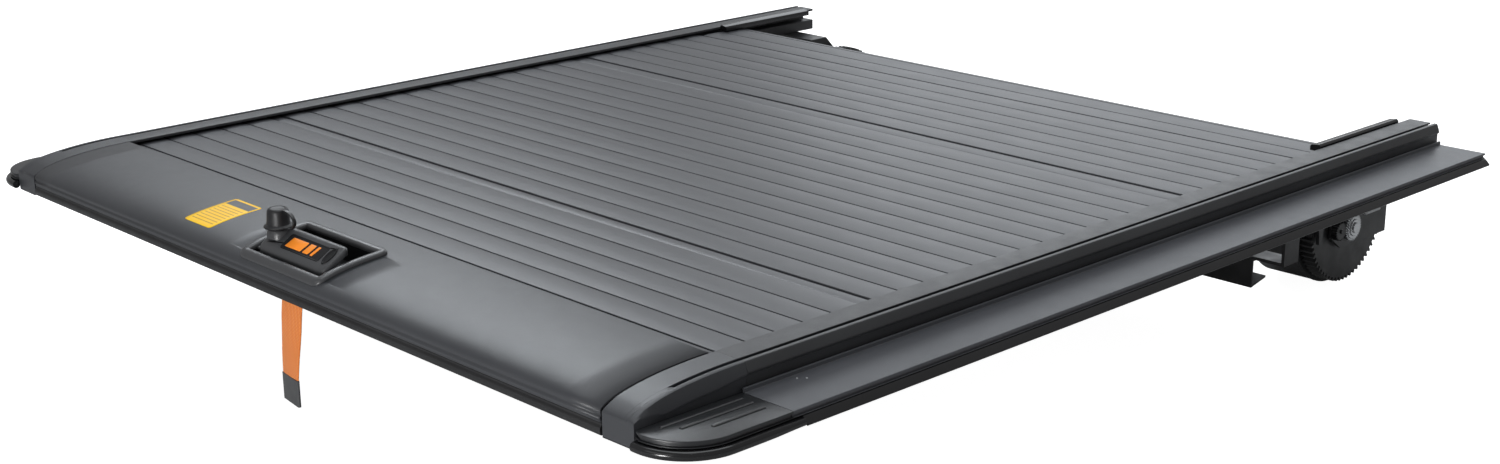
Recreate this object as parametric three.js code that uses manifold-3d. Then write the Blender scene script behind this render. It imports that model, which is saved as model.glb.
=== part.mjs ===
// Roll-up truck bed cover: aluminium slats that run in two side rails and wind down at the cab end.
// Millimetres. +X is the truck's right side, +Y points at the cab, +Z is up.
// Z = 0 is the top of the truck's bed rails, which the two ledges lie on. Y = 0 is the tailgate end.
import * as THREE from 'three'
import { mergeVertices } from 'three/addons/utils/BufferGeometryUtils.js'
import Module from 'manifold-3d'

const wasm = await Module()
wasm.setup()

// ---------- driving dimensions ----------
const GAP = 0.3 // between pieces that touch

// side rails
const RAIL_END = 1600
const OPENING_HALF = 638 // centre line to the inner edge of a rail's top flange
const RAIL_WIDTH = 50
const RAIL_TOP = 39
const FLANGE = 4
const CHANNEL_DEPTH = 26 // how far the slat channel reaches in under the flange
const CHANNEL_FLOOR = 18
const RAIL_WALL = 3
const SLOT_INSET = 34 // flange edge to the T-slot's mouth
const SLOT_MOUTH = 6
const SLOT_HEAD = 12
const SLOT_DEPTH = 11
const SLOT_LIP = 2.5
const FACET_RUN = 4.5
const FACET_DROP = 11
const CAP_OVERLAP = 7 // how far the moulded cap in front of each rail reaches past the bar's curve

// ledges on the bed rails
const LEDGE_REACH = 76
const LEDGE_THICK = 8
const LEDGE_WALL = 2
const LEDGE_CHAMFER = 1.5
const UPSTAND = 5
const CORNER_LENGTH = 150
const CORNER_RADIUS = 66
const RIB_SHARES = [0.17, 0.38, 0.62] // places of the three ribs across the ledge
const RIB_STOP = 12
const RIB_HEIGHT = 1.6
const RIB_WIDTH = 6
const SEAL_DROP = 10
const SEAL_FLARE = 9
const SEAL_THICK = 3.2

// end bar
const BAR_DEPTH = 151 // nose to the top of the curve
const BAR_SKIN = 3
const NOSE_HEIGHT = 13
const NOSE_BOX = 12
const LIP_DROP = 13
const TONGUE = 20.7
const CURVE_STEPS = 24
const BAR_SIDE_GAP = 2
const SEAL_STEP = 4

// curtain
const SLAT_PITCH = 44.9
const SLAT_THICK = 10.4
const SLAT_TOP = 31
const SLAT_ENGAGE = 22 // how far a slat reaches into the channel
const SLAT_WALL = 1.6
const SLAT_GAP = 0.5
const SLAT_GROUPS = [5, 13, 6] // plain slats before, between and after the narrow strips
const STRIP_WIDTHS = [22, 32]
const DIVE_INSET = 206.6 // the rail's cab end to where the curtain turns down
const DIVE_RADIUS = 55
const DIVE_DROP = 45
const TAIL_SIDE_GAP = 6

// handle
const HANDLE_X = 11 // centre of the handle's frame
const BEZEL_WIDTH = 184
const BEZEL_DEPTH = 108
const BEZEL_Y = 58
const BEZEL_RIM = 13
const BEZEL_PROUD = 6
const BEZEL_CORNER = 12
const PAN_DEPTH = 26
const PAN_WALL = 2.2
const PADDLE_WIDTH = 150
const PADDLE_DEPTH = 43
const PADDLE_SIDE_GAP = 3
const PADDLE_FRONT_GAP = 6
const PADDLE_RIDGE = 14 // the paddle's ridge above the rails' top
const PADDLE_SLOPE = 20 // how far the face falls from the ridge to the front
const PADDLE_THICK = 11
const PADDLE_CORNER = 8
const PIN_R = 2.5
const PIN_INSET = 6
const LOCK_INSET = 14 // the paddle's left end to the lock
const LOCK_SETBACK = 17 // the paddle's cab edge to the lock
const LOCK_R = 10
const LOCK_LENGTH = 16
const BOSS_R = 14
const CAP_R = 16.5
const DUST_CAP_HEIGHT = 26
const BOLT_R = 4
const BOLT_INNER = 108 // where a latch rod starts, beside the handle
const BOLT_Y = 110
const BOLT_Z = 26.5
const BOLT_THROW = 18 // how far a rod reaches into the rail's channel

// pull strap
const STRAP_WIDTH = 44
const STRAP_THICK = 2.4
// [x, y, z, degrees of twist]
const STRAP_ROUTE = [
  [24, 13.6, 9, 0],
  [24, 13.6, -6, 0],
  [23.5, 14.2, -22, 0],
  [22, 15.4, -40, -2],
  [19, 16.6, -58, -6],
  [15, 17.2, -76, -11],
  [11, 17, -94, -16],
  [6, 16.4, -112, -20],
  [2, 16, -128, -22],
]
const TAG_LENGTH = 30
const TAG_THICK = 4.4

// winding gear
const DRUM_INSET = 18 // the rail's cab end to the drum's axis
const DRUM_Z = -127
const DRUM_R = 45
const DRUM_WALL = 3
const WEB_INSET = 34
const WEB_PORT_R = 8
const WHEEL_INSET = 80 // the rail's inner edge to a toothed wheel's outer face
const WHEEL_TIP = 106
const WHEEL_TEETH = 64
const WHEEL_TOOTH = 6
const WHEEL_THICK = 22
const SHAFT_R = 12
const CUP_R = 108
const CUP_BACK_R = 65
const CUP_WALL = 3
const CUP_LENGTH = 86
const CUP_GAP = 2
const CUP_FOOT = 26
const PLATE_GAP = 4
const PLATE_THICK = 4
const PLATE_REACH = 102 // the drum's axis to the plate's cab edge
const PLATE_FRONT = 62
const PLATE_DROP = 45
const LEFT_REACH = 34 // the left plate is shorter, because it carries no gears
const LEFT_TOP_INSET = 40
const LEFT_DROP = 60
const BORE_CLEAR = 0.5
const GEAR_MODULE = 1.25
const SILVER_TEETH = 34
const BLACK_TEETH = 22
const GEAR_THICK = 8
const STUD_R = 3
const STUD_PROUD = 2
const SILVER_OFFSET = -10 // the silver gear from the drum's axis, along Y
const SILVER_DROP = 14
const GEAR_SPREAD = 0.35 // added to the gears' centre distance
const SPRING_R = 4
const SPRING_LENGTH = 46
const SPRING_START = 24
const BEAM_INSET = 286 // the rail's cab end to the cross beam
const BEAM_DEPTH = 38
const BEAM_BOTTOM = -183
const BEAM_HEIGHT = 44
const BEAM_WALL = 3
const BEAM_SIDE = 78 // the rail's inner edge to the beam's end
const HANGER_INSET = 30
const ARM_THICK = 5

// ---------- values worked out from them ----------
const RAIL_OUT = OPENING_HALF + RAIL_WIDTH
const LEDGE_IN = RAIL_OUT + GAP
const LEDGE_OUT = RAIL_OUT + LEDGE_REACH
const CHANNEL_BACK = OPENING_HALF + CHANNEL_DEPTH
const SLAT_HALF = OPENING_HALF + SLAT_ENGAGE
const SLAT_BOTTOM = SLAT_TOP - SLAT_THICK
const CURTAIN_START = BAR_DEPTH + TONGUE + GAP
const CAP_LENGTH = BAR_DEPTH + CAP_OVERLAP
const DIVE_Y = RAIL_END - DIVE_INSET
const DRUM_Y = RAIL_END - DRUM_INSET
const BEAM_Y = RAIL_END - BEAM_INSET
const BEAM_HALF = OPENING_HALF - BEAM_SIDE
const WHEEL_FACE = OPENING_HALF - WHEEL_INSET
const PLATE_X = WHEEL_FACE + PLATE_GAP
const DRUM_HALF = WHEEL_FACE - WHEEL_THICK - GAP
const SILVER_Y = DRUM_Y + SILVER_OFFSET
const SILVER_Z = DRUM_Z - SILVER_DROP

// ---------- helpers ----------
const RIGHT = 1
const LEFT = -1

function matte(color, roughness, metalness) {
  return new THREE.MeshStandardMaterial({ color, roughness, metalness })
}

const finish = {
  powder: () => matte(0x34373c, 0.5, 0.4),
  slat: () => matte(0x45484d, 0.5, 0.4),
  moulded: () => matte(0x1f2022, 0.6, 0),
  rubber: () => matte(0x101113, 0.45, 0),
  steel: () => matte(0x17181a, 0.5, 0.3),
  bright: () => matte(0xb4b7ba, 0.35, 0.9),
  webbing: () => matte(0xf07418, 0.9, 0),
  tag: () => matte(0x9a9da2, 0.8, 0),
}

// A shape whose points are given in the two axes that follow `axis`, drawn out along `axis`.
function drawn(axis, points, from, to, holes = []) {
  if (holes.length) {
    const plugs = holes.map((hole) => drawn(axis, hole, from - 1, to + 1))
    return cut(drawn(axis, points, from, to), ...plugs)
  }
  const shape = new THREE.Shape(points.map(([a, b]) => new THREE.Vector2(a, b)))
  const solid = new THREE.ExtrudeGeometry(shape, { depth: to - from, bevelEnabled: false })
  solid.translate(0, 0, from)
  if (axis === 'x') solid.applyMatrix4(new THREE.Matrix4().set(0, 0, 1, 0, 1, 0, 0, 0, 0, 1, 0, 0, 0, 0, 0, 1))
  if (axis === 'y') solid.applyMatrix4(new THREE.Matrix4().set(0, 1, 0, 0, 0, 0, 1, 0, 1, 0, 0, 0, 0, 0, 0, 1))
  return solid
}

// A section across the truck, with its points as [x, z], drawn out along Y.
function section(points, from, to, holes = []) {
  const turned = (list) => list.map(([x, z]) => [z, x])
  return drawn('y', turned(points), from, to, holes.map(turned))
}

function block(x0, x1, y0, y1, z0, z1) {
  return new THREE.BoxGeometry(x1 - x0, y1 - y0, z1 - z0).translate((x0 + x1) / 2, (y0 + y1) / 2, (z0 + z1) / 2)
}

// A round bar along X, or a tube when a bore is given.
function roundBar(radius, from, to, y, z, sides = 24, bore = 0) {
  const ring = (r) => circle(y, z, r, sides)
  return drawn('x', ring(radius), from, to, bore ? [ring(bore)] : [])
}

function circle(a, b, radius, sides, start = 0) {
  return Array.from({ length: sides }, (_, i) => {
    const angle = start + (i / sides) * Math.PI * 2
    return [a + radius * Math.cos(angle), b + radius * Math.sin(angle)]
  })
}

function arc(a, b, ra, rb, from, to, steps) {
  return Array.from({ length: steps + 1 }, (_, i) => {
    const angle = from + ((to - from) * i) / steps
    return [a + ra * Math.cos(angle), b + rb * Math.sin(angle)]
  })
}

function roundedBox(a0, a1, b0, b1, radius, steps = 4) {
  const quarter = Math.PI / 2
  return [
    ...arc(a1 - radius, b1 - radius, radius, radius, 0, quarter, steps),
    ...arc(a0 + radius, b1 - radius, radius, radius, quarter, 2 * quarter, steps),
    ...arc(a0 + radius, b0 + radius, radius, radius, 2 * quarter, 3 * quarter, steps),
    ...arc(a1 - radius, b0 + radius, radius, radius, 3 * quarter, 4 * quarter, steps),
  ]
}

function toManifold(geometry) {
  const bare = geometry.clone()
  bare.deleteAttribute('normal')
  bare.deleteAttribute('uv')
  const merged = mergeVertices(bare, 1e-4)
  return new wasm.Manifold(
    new wasm.Mesh({
      numProp: 3,
      vertProperties: new Float32Array(merged.attributes.position.array),
      triVerts: new Uint32Array(merged.index.array),
    }),
  )
}

function fromManifold(solid) {
  const mesh = solid.getMesh()
  const geometry = new THREE.BufferGeometry()
  geometry.setAttribute('position', new THREE.BufferAttribute(new Float32Array(mesh.vertProperties), 3))
  geometry.setIndex(new THREE.BufferAttribute(new Uint32Array(mesh.triVerts), 1))
  const flat = geometry.toNonIndexed()
  flat.computeVertexNormals()
  return flat
}

function join(...parts) {
  return fromManifold(parts.map(toManifold).reduce((all, part) => all.add(part)))
}

function cut(body, ...tools) {
  return fromManifold(tools.map(toManifold).reduce((rest, tool) => rest.subtract(tool), toManifold(body)))
}

function common(one, other) {
  return fromManifold(toManifold(one).intersect(toManifold(other)))
}

// The same piece for the other side of the truck: X changes sign and every triangle is wound back.
function onSide(side, geometry) {
  if (side === RIGHT) return geometry
  const flat = geometry.index ? geometry.toNonIndexed() : geometry.clone()
  flat.deleteAttribute('uv')
  const p = flat.attributes.position
  for (let i = 0; i < p.count; i += 3) {
    const [x1, y1, z1] = [p.getX(i + 1), p.getY(i + 1), p.getZ(i + 1)]
    p.setX(i, -p.getX(i))
    p.setXYZ(i + 1, -p.getX(i + 2), p.getY(i + 2), p.getZ(i + 2))
    p.setXYZ(i + 2, -x1, y1, z1)
  }
  flat.computeVertexNormals()
  return flat
}

// A closed skin from rings of equal length, with flat ends.
function lofted(rings) {
  const size = rings[0].length
  const points = rings.flat(2)
  const faces = []
  for (let r = 0; r + 1 < rings.length; r++) {
    for (let i = 0; i < size; i++) {
      const [a, b] = [r * size + i, r * size + ((i + 1) % size)]
      faces.push(a, b, b + size, a, b + size, a + size)
    }
  }
  const last = (rings.length - 1) * size
  for (let i = 1; i + 1 < size; i++) faces.push(0, i + 1, i, last, last + i, last + i + 1)
  const geometry = new THREE.BufferGeometry()
  geometry.setAttribute('position', new THREE.Float32BufferAttribute(points, 3))
  geometry.setIndex(faces)
  const flat = geometry.toNonIndexed()
  flat.computeVertexNormals()
  return flat
}

const cover = new THREE.Group()

function add(name, geometry, material) {
  const mesh = new THREE.Mesh(geometry, material)
  mesh.name = name
  cover.add(mesh)
}

// ---------- rails, caps and ledges ----------
function railOutline(bottom) {
  const mouth = OPENING_HALF + SLOT_INSET
  const middle = mouth + SLOT_MOUTH / 2
  const lip = RAIL_TOP - SLOT_LIP
  const head = SLOT_HEAD / 2
  return [
    [OPENING_HALF, RAIL_TOP],
    [mouth, RAIL_TOP],
    [mouth, lip],
    [middle - head, lip],
    [middle - head, RAIL_TOP - SLOT_DEPTH],
    [middle + head, RAIL_TOP - SLOT_DEPTH],
    [middle + head, lip],
    [mouth + SLOT_MOUTH, lip],
    [mouth + SLOT_MOUTH, RAIL_TOP],
    [RAIL_OUT - FACET_RUN, RAIL_TOP],
    [RAIL_OUT, RAIL_TOP - FACET_DROP],
    [RAIL_OUT, bottom],
    [OPENING_HALF, bottom],
    [OPENING_HALF, CHANNEL_FLOOR],
    [CHANNEL_BACK, CHANNEL_FLOOR],
    [CHANNEL_BACK, RAIL_TOP - FLANGE],
    [OPENING_HALF, RAIL_TOP - FLANGE],
  ]
}

function rail() {
  const inner = OPENING_HALF + RAIL_WALL
  const hollow = [
    [inner, RAIL_WALL],
    [RAIL_OUT - RAIL_WALL, RAIL_WALL],
    [RAIL_OUT - RAIL_WALL, CHANNEL_FLOOR - RAIL_WALL],
    [inner, CHANNEL_FLOOR - RAIL_WALL],
  ]
  return section(railOutline(0), CAP_LENGTH + GAP, RAIL_END, [hollow])
}

// Height of the end bar's outside above its nose: a quarter ellipse from the nose to the flat top.
function barCurve(inset, from, to, steps) {
  return arc(
    BAR_DEPTH,
    NOSE_HEIGHT,
    BAR_DEPTH - inset,
    RAIL_TOP - NOSE_HEIGHT - inset,
    Math.PI - from,
    Math.PI - to,
    steps,
  )
}

function railCap() {
  const side = [
    [0, -LIP_DROP],
    ...barCurve(0, 0, Math.PI / 2, 10),
    [CAP_LENGTH, RAIL_TOP],
    [CAP_LENGTH, 0],
    [NOSE_BOX + 4, 0],
    [NOSE_BOX + 4, -LIP_DROP],
  ]
  const slab = drawn('x', side, OPENING_HALF + GAP, RAIL_OUT)
  const shaped = common(slab, section(capOutline(), -1, CAP_LENGTH + 1))
  const channel = block(OPENING_HALF - 1, CHANNEL_BACK, BAR_DEPTH / 2, CAP_LENGTH + 1, -1, RAIL_TOP - FLANGE)
  return cut(shaped, channel)
}

function capOutline() {
  return [
    [OPENING_HALF, -LIP_DROP - 1],
    [RAIL_OUT, -LIP_DROP - 1],
    [RAIL_OUT, RAIL_TOP - FACET_DROP],
    [RAIL_OUT - FACET_RUN, RAIL_TOP + 1],
    [OPENING_HALF, RAIL_TOP + 1],
  ]
}

function ledge() {
  const outline = [
    [LEDGE_IN, 0],
    [LEDGE_OUT, 0],
    [LEDGE_OUT, LEDGE_THICK - LEDGE_CHAMFER],
    [LEDGE_OUT - LEDGE_CHAMFER, LEDGE_THICK],
    [LEDGE_IN + RAIL_WALL, LEDGE_THICK],
    [LEDGE_IN + RAIL_WALL, LEDGE_THICK + UPSTAND],
    [LEDGE_IN, LEDGE_THICK + UPSTAND],
  ]
  const middle = (LEDGE_IN + LEDGE_OUT) / 2
  const cell = (x0, x1) => [
    [x0, LEDGE_WALL],
    [x1, LEDGE_WALL],
    [x1, LEDGE_THICK - LEDGE_WALL],
    [x0, LEDGE_THICK - LEDGE_WALL],
  ]
  const cells = [
    cell(LEDGE_IN + RAIL_WALL, middle - LEDGE_WALL / 2),
    cell(middle + LEDGE_WALL / 2, LEDGE_OUT - RAIL_WALL),
  ]
  return section(outline, CORNER_LENGTH + GAP, RAIL_END, cells)
}

// The moulded corner in front of a ledge, with three raised ribs that start on its round edge.
function ledgeCorner() {
  const outline = [
    [LEDGE_IN, 2],
    ...arc(LEDGE_OUT - CORNER_RADIUS, CORNER_RADIUS - 2, CORNER_RADIUS, CORNER_RADIUS, -Math.PI / 2, 0, 8),
    [LEDGE_OUT, CORNER_LENGTH],
    [LEDGE_IN, CORNER_LENGTH],
  ]
  const plate = drawn('z', outline, 0, LEDGE_THICK)
  const rib = (share) => {
    const x = LEDGE_IN + share * LEDGE_REACH
    const start = CORNER_LENGTH * (0.13 + 0.75 * share * share)
    return drawn(
      'z',
      roundedBox(x - RIB_WIDTH / 2, x + RIB_WIDTH / 2, start, CORNER_LENGTH - RIB_STOP, RIB_WIDTH / 2 - 0.2, 2),
      LEDGE_THICK - 1,
      LEDGE_THICK + RIB_HEIGHT,
    )
  }
  return join(plate, ...RIB_SHARES.map(rib))
}

// A rubber lip that runs along the ledge's outer edge and round the corner, flaring out and down.
function ledgeSeal() {
  const lip = [
    [-6, -GAP],
    [GAP + 1.2, -GAP],
    [SEAL_FLARE, -SEAL_DROP + 1.5],
    [SEAL_FLARE, -SEAL_DROP],
    [SEAL_FLARE - 2, -SEAL_DROP],
    [-1, -SEAL_THICK],
    [-6, -SEAL_THICK],
  ]
  const turn = arc(LEDGE_OUT - CORNER_RADIUS, CORNER_RADIUS - 2, 1, 1, -Math.PI / 2, 0, 8).map(([x, y], i) => {
    const angle = -Math.PI / 2 + (i / 8) * (Math.PI / 2)
    const [nx, ny] = [Math.cos(angle), Math.sin(angle)]
    return { x: x + nx * (CORNER_RADIUS - 1), y: y + ny * (CORNER_RADIUS - 1), nx, ny }
  })
  const path = [{ x: LEDGE_IN + 3, y: -2, nx: 0, ny: -1 }, ...turn, { x: LEDGE_OUT, y: RAIL_END, nx: 1, ny: 0 }]
  return lofted(path.map((at) => lip.map(([out, z]) => [at.x + at.nx * out, at.y + at.ny * out, z])))
}

for (const [side, hand] of [[RIGHT, 'right'], [LEFT, 'left']]) {
  add(`rail_${hand}`, onSide(side, rail()), finish.powder())
  add(`rail_cap_${hand}`, onSide(side, railCap()), finish.moulded())
  add(`ledge_${hand}`, onSide(side, ledge()), finish.powder())
  add(`ledge_corner_${hand}`, onSide(side, ledgeCorner()), finish.moulded())
  add(`ledge_seal_${hand}`, onSide(side, ledgeSeal()), finish.rubber())
}

// ---------- curtain ----------
// One hollow slat, drawn across the truck, from y0 to y1.
function slat(y0, y1) {
  const edge = 1
  const outline = [
    [y0, SLAT_BOTTOM],
    [y1, SLAT_BOTTOM],
    [y1, SLAT_TOP - edge],
    [y1 - edge, SLAT_TOP],
    [y0 + edge, SLAT_TOP],
    [y0, SLAT_TOP - edge],
  ]
  const middle = (y0 + y1) / 2
  const cell = (a, b) => [
    [a, SLAT_BOTTOM + SLAT_WALL],
    [b, SLAT_BOTTOM + SLAT_WALL],
    [b, SLAT_TOP - SLAT_WALL],
    [a, SLAT_TOP - SLAT_WALL],
  ]
  const cells = [cell(y0 + SLAT_WALL, middle - SLAT_WALL / 2), cell(middle + SLAT_WALL / 2, y1 - SLAT_WALL)]
  return drawn('x', outline, -SLAT_HALF, SLAT_HALF, cells)
}

let curtainEnd = CURTAIN_START
let slatNumber = 0
SLAT_GROUPS.forEach((count, group) => {
  for (let i = 0; i < count; i++) {
    slatNumber += 1
    const name = `slat_${String(slatNumber).padStart(2, '0')}`
    add(name, slat(curtainEnd, curtainEnd + SLAT_PITCH - SLAT_GAP), finish.slat())
    curtainEnd += SLAT_PITCH
  }
  if (group < STRIP_WIDTHS.length) {
    add(`joint_strip_${group + 1}`, slat(curtainEnd, curtainEnd + STRIP_WIDTHS[group] - SLAT_GAP), finish.slat())
    curtainEnd += STRIP_WIDTHS[group]
  }
})

// The last slats, joined: a flat run up to where the curtain turns down, then a quarter circle to the drum.
function curtainTail() {
  const centre = SLAT_TOP - DIVE_RADIUS
  const inner = DIVE_RADIUS - SLAT_THICK
  const outline = [
    [curtainEnd, SLAT_BOTTOM],
    [curtainEnd, SLAT_TOP],
    ...arc(DIVE_Y, centre, DIVE_RADIUS, DIVE_RADIUS, Math.PI / 2, 0, 10),
    [DIVE_Y + DIVE_RADIUS, centre - DIVE_DROP],
    [DIVE_Y + inner, centre - DIVE_DROP],
    ...arc(DIVE_Y, centre, inner, inner, 0, Math.PI / 2, 10),
  ]
  return drawn('x', outline, -OPENING_HALF + TAIL_SIDE_GAP, OPENING_HALF - TAIL_SIDE_GAP)
}
add('curtain_tail', curtainTail(), finish.slat())

// ---------- end bar ----------
const BAR_HALF = OPENING_HALF - BAR_SIDE_GAP
const BEZEL = {
  x0: HANDLE_X - BEZEL_WIDTH / 2,
  x1: HANDLE_X + BEZEL_WIDTH / 2,
  y0: BEZEL_Y - BEZEL_DEPTH / 2,
  y1: BEZEL_Y + BEZEL_DEPTH / 2,
}

function endBar() {
  const rear = BAR_DEPTH + TONGUE
  const inside = Math.acos((BAR_DEPTH - NOSE_BOX) / (BAR_DEPTH - BAR_SKIN))
  const outline = [
    [0, 1],
    ...barCurve(0, 0, Math.PI / 2, CURVE_STEPS),
    [BAR_DEPTH, SLAT_TOP],
    [rear, SLAT_TOP],
    [rear, SLAT_BOTTOM],
    [BAR_DEPTH - BAR_SKIN, SLAT_BOTTOM],
    ...barCurve(BAR_SKIN, inside, Math.PI / 2 - 0.05, 8).reverse(),
    [NOSE_BOX, 1],
  ]
  const body = drawn('x', outline, -BAR_HALF, BAR_HALF)
  const inset = BEZEL_RIM - 3
  const front = Math.max(BEZEL.y0 + inset, NOSE_BOX + 2)
  const mouth = roundedBox(BEZEL.x0 + inset, BEZEL.x1 - inset, front, BEZEL.y1 - inset, 8)
  return cut(body, drawn('z', mouth, 0, RAIL_TOP + 1))
}

// The grey lip and rubber under the nose, which close on the tailgate.
function barSeal() {
  const outline = [
    [1, 1 - GAP],
    [1, -SEAL_STEP + 1],
    [-1.5, -SEAL_STEP - 0.5],
    [-1.5, -LIP_DROP + 2],
    [0, -LIP_DROP],
    [4, -LIP_DROP],
    [4, -SEAL_STEP],
    [NOSE_BOX, -SEAL_STEP],
    [NOSE_BOX, 1 - GAP],
  ]
  return drawn('x', outline, -BAR_HALF, BAR_HALF)
}

add('end_bar', endBar(), finish.powder())
add('end_bar_seal', barSeal(), finish.rubber())

// ---------- handle ----------
const PAN = {
  x0: BEZEL.x0 + BEZEL_RIM,
  x1: BEZEL.x1 - BEZEL_RIM,
  y0: Math.max(BEZEL.y0 + BEZEL_RIM, NOSE_BOX + 2 + PAN_WALL + GAP),
  y1: BEZEL.y1 - BEZEL_RIM,
}
const PAN_FLOOR = RAIL_TOP - PAN_DEPTH

// A slab that lies on the end bar's curve: from `low` to `high` off it, over y0 to y1.
function onCurve(x0, x1, y0, y1, low, high) {
  const turn = (y) => Math.acos((BAR_DEPTH - y) / BAR_DEPTH)
  const top = barCurve(-high, turn(y0), turn(y1), CURVE_STEPS)
  const under = barCurve(-low, turn(y0), turn(y1), CURVE_STEPS).reverse()
  return drawn('x', [...top, ...under], x0, x1)
}

function bezel() {
  const rim = common(
    onCurve(BEZEL.x0, BEZEL.x1, BEZEL.y0, BEZEL.y1, GAP, BEZEL_PROUD),
    drawn('z', roundedBox(BEZEL.x0, BEZEL.x1, BEZEL.y0, BEZEL.y1, BEZEL_CORNER), -50, 100),
  )
  const [w, f] = [PAN_WALL, PAN_FLOOR]
  const pan = drawn('z', roundedBox(PAN.x0 - w, PAN.x1 + w, PAN.y0 - w, PAN.y1 + w, 8), f - w, RAIL_TOP)
  const shell = common(pan, onCurve(PAN.x0 - w, PAN.x1 + w, PAN.y0 - w, PAN.y1 + w, -60, BEZEL_PROUD))
  const hollow = drawn('z', roundedBox(PAN.x0, PAN.x1, PAN.y0, PAN.y1, 6), f, 100)
  return cut(join(rim, shell), hollow)
}

const PADDLE = {
  x0: PAN.x0 + PADDLE_SIDE_GAP,
  x1: PAN.x0 + PADDLE_SIDE_GAP + PADDLE_WIDTH,
  y0: PAN.y0 + PADDLE_FRONT_GAP,
  y1: PAN.y0 + PADDLE_FRONT_GAP + PADDLE_DEPTH,
  ridge: RAIL_TOP + PADDLE_RIDGE,
}
const PADDLE_LOW = PADDLE.ridge - PADDLE_SLOPE
const PIN_Y = PADDLE.y0 + PIN_INSET
const PIN_Z = PADDLE_LOW - PIN_INSET
const LOCK_X = PADDLE.x0 + LOCK_INSET
const LOCK_Y = PADDLE.y1 - LOCK_SETBACK
const BOSS_TOP = PADDLE.ridge - 1

// The flap: a tilted plate that rises from its hinge to a ridge, with a level boss for the lock.
function paddle() {
  const edge = 4
  const side = [
    [PADDLE.y0, PIN_Z - 4.5],
    [PADDLE.y0, PADDLE_LOW - edge],
    [PADDLE.y0 + edge, PADDLE_LOW],
    [PADDLE.y1 - 2 * edge, PADDLE.ridge],
    [PADDLE.y1 - edge, PADDLE.ridge],
    [PADDLE.y1, PADDLE.ridge - edge],
    [PADDLE.y1, PADDLE.ridge - PADDLE_THICK],
    [PADDLE.y1 - edge, PADDLE.ridge - PADDLE_THICK - 2],
    [PADDLE.y0 + 2 * PIN_INSET, PIN_Z - 4.5],
  ]
  const slab = common(
    drawn('x', side, PADDLE.x0, PADDLE.x1),
    drawn('z', roundedBox(PADDLE.x0, PADDLE.x1, PADDLE.y0, PADDLE.y1, PADDLE_CORNER), -50, 100),
  )
  const boss = drawn('z', circle(LOCK_X, LOCK_Y, BOSS_R, 24), BOSS_TOP - PADDLE_THICK, BOSS_TOP)
  const bore = roundBar(PIN_R + BORE_CLEAR, PADDLE.x0 - 5, PADDLE.x1 + 5, PIN_Y, PIN_Z, 16)
  const lock = drawn('z', circle(LOCK_X, LOCK_Y, LOCK_R + BORE_CLEAR, 24), -50, 100)
  return cut(join(slab, boss), bore, lock)
}

function lockBarrel() {
  const top = BOSS_TOP + 1
  const barrel = drawn('z', circle(LOCK_X, LOCK_Y, LOCK_R, 24), top - LOCK_LENGTH, top)
  const key = block(LOCK_X - 0.8, LOCK_X + 0.8, LOCK_Y - 4, LOCK_Y + 4, top - 2, top + 1)
  return cut(barrel, key)
}

function dustCap() {
  const base = BOSS_TOP + 1 + GAP
  const points = [
    [0, base],
    [CAP_R, base],
    [CAP_R + 1.5, base + 1.5],
    [CAP_R + 1, base + 4],
    [CAP_R - 3, base + 6],
    [CAP_R - 3.5, base + DUST_CAP_HEIGHT - 3],
    [CAP_R - 6, base + DUST_CAP_HEIGHT],
    [0, base + DUST_CAP_HEIGHT],
  ]
  const cap = new THREE.LatheGeometry(points.map(([r, z]) => new THREE.Vector2(r, z)), 24)
  return cap.rotateX(Math.PI / 2).translate(LOCK_X, LOCK_Y, 0)
}

add('handle_bezel', bezel(), finish.moulded())
add('handle_paddle', paddle(), finish.moulded())
add('paddle_pin', roundBar(PIN_R, PAN.x0 + GAP, PAN.x1 - GAP, PIN_Y, PIN_Z, 16), finish.bright())
add('lock_barrel', lockBarrel(), finish.bright())
add('dust_cap', dustCap(), finish.rubber())

function latchBolt() {
  return roundBar(BOLT_R, BOLT_INNER, OPENING_HALF + BOLT_THROW, BOLT_Y, BOLT_Z, 16)
}
for (const [side, hand] of [[RIGHT, 'right'], [LEFT, 'left']]) {
  add(`latch_bolt_${hand}`, onSide(side, latchBolt()), finish.bright())
}

// ---------- pull strap ----------
// A flat band whose width turns with its twist at every point of the route.
function band(route, width, thick) {
  const corners = [[-1, -1], [-1, 1], [1, 1], [1, -1]]
  return lofted(
    route.map(([x, y, z, twist]) => {
      const [c, s] = [Math.cos(THREE.MathUtils.degToRad(twist)), Math.sin(THREE.MathUtils.degToRad(twist))]
      return corners.map(([i, j]) => {
        const [a, b] = [(i * width) / 2, (j * thick) / 2]
        return [x + a * c - b * s, y + a * s + b * c, z]
      })
    }),
  )
}

function strapTag() {
  const [x, y, z, twist] = STRAP_ROUTE[STRAP_ROUTE.length - 1]
  const route = [[x, y, z - GAP, twist], [x, y, z - GAP - TAG_LENGTH, twist]]
  return band(route, STRAP_WIDTH + 1, TAG_THICK)
}
add('pull_strap', band(STRAP_ROUTE, STRAP_WIDTH, STRAP_THICK), finish.webbing())
add('strap_tag', strapTag(), finish.tag())

// ---------- winding gear ----------
function teeth(y, z, tip, root, count, start, share) {
  const points = []
  for (let i = 0; i < count; i++) {
    const middle = start + (i / count) * Math.PI * 2
    const half = Math.PI / count
    const spots = [[-0.95, root], [-share * 1.25, root], [-share * 0.55, tip], [share * 0.55, tip], [share * 1.25, root]]
    for (const [offset, radius] of spots) {
      const angle = middle + offset * half
      points.push([y + radius * Math.cos(angle), z + radius * Math.sin(angle)])
    }
  }
  return points
}

function driveWheel() {
  const outline = teeth(DRUM_Y, DRUM_Z, WHEEL_TIP, WHEEL_TIP - WHEEL_TOOTH, WHEEL_TEETH, 0, 0.5)
  return drawn('x', outline, WHEEL_FACE - WHEEL_THICK, WHEEL_FACE, [
    circle(DRUM_Y, DRUM_Z, SHAFT_R + BORE_CLEAR, 24),
  ])
}

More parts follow.
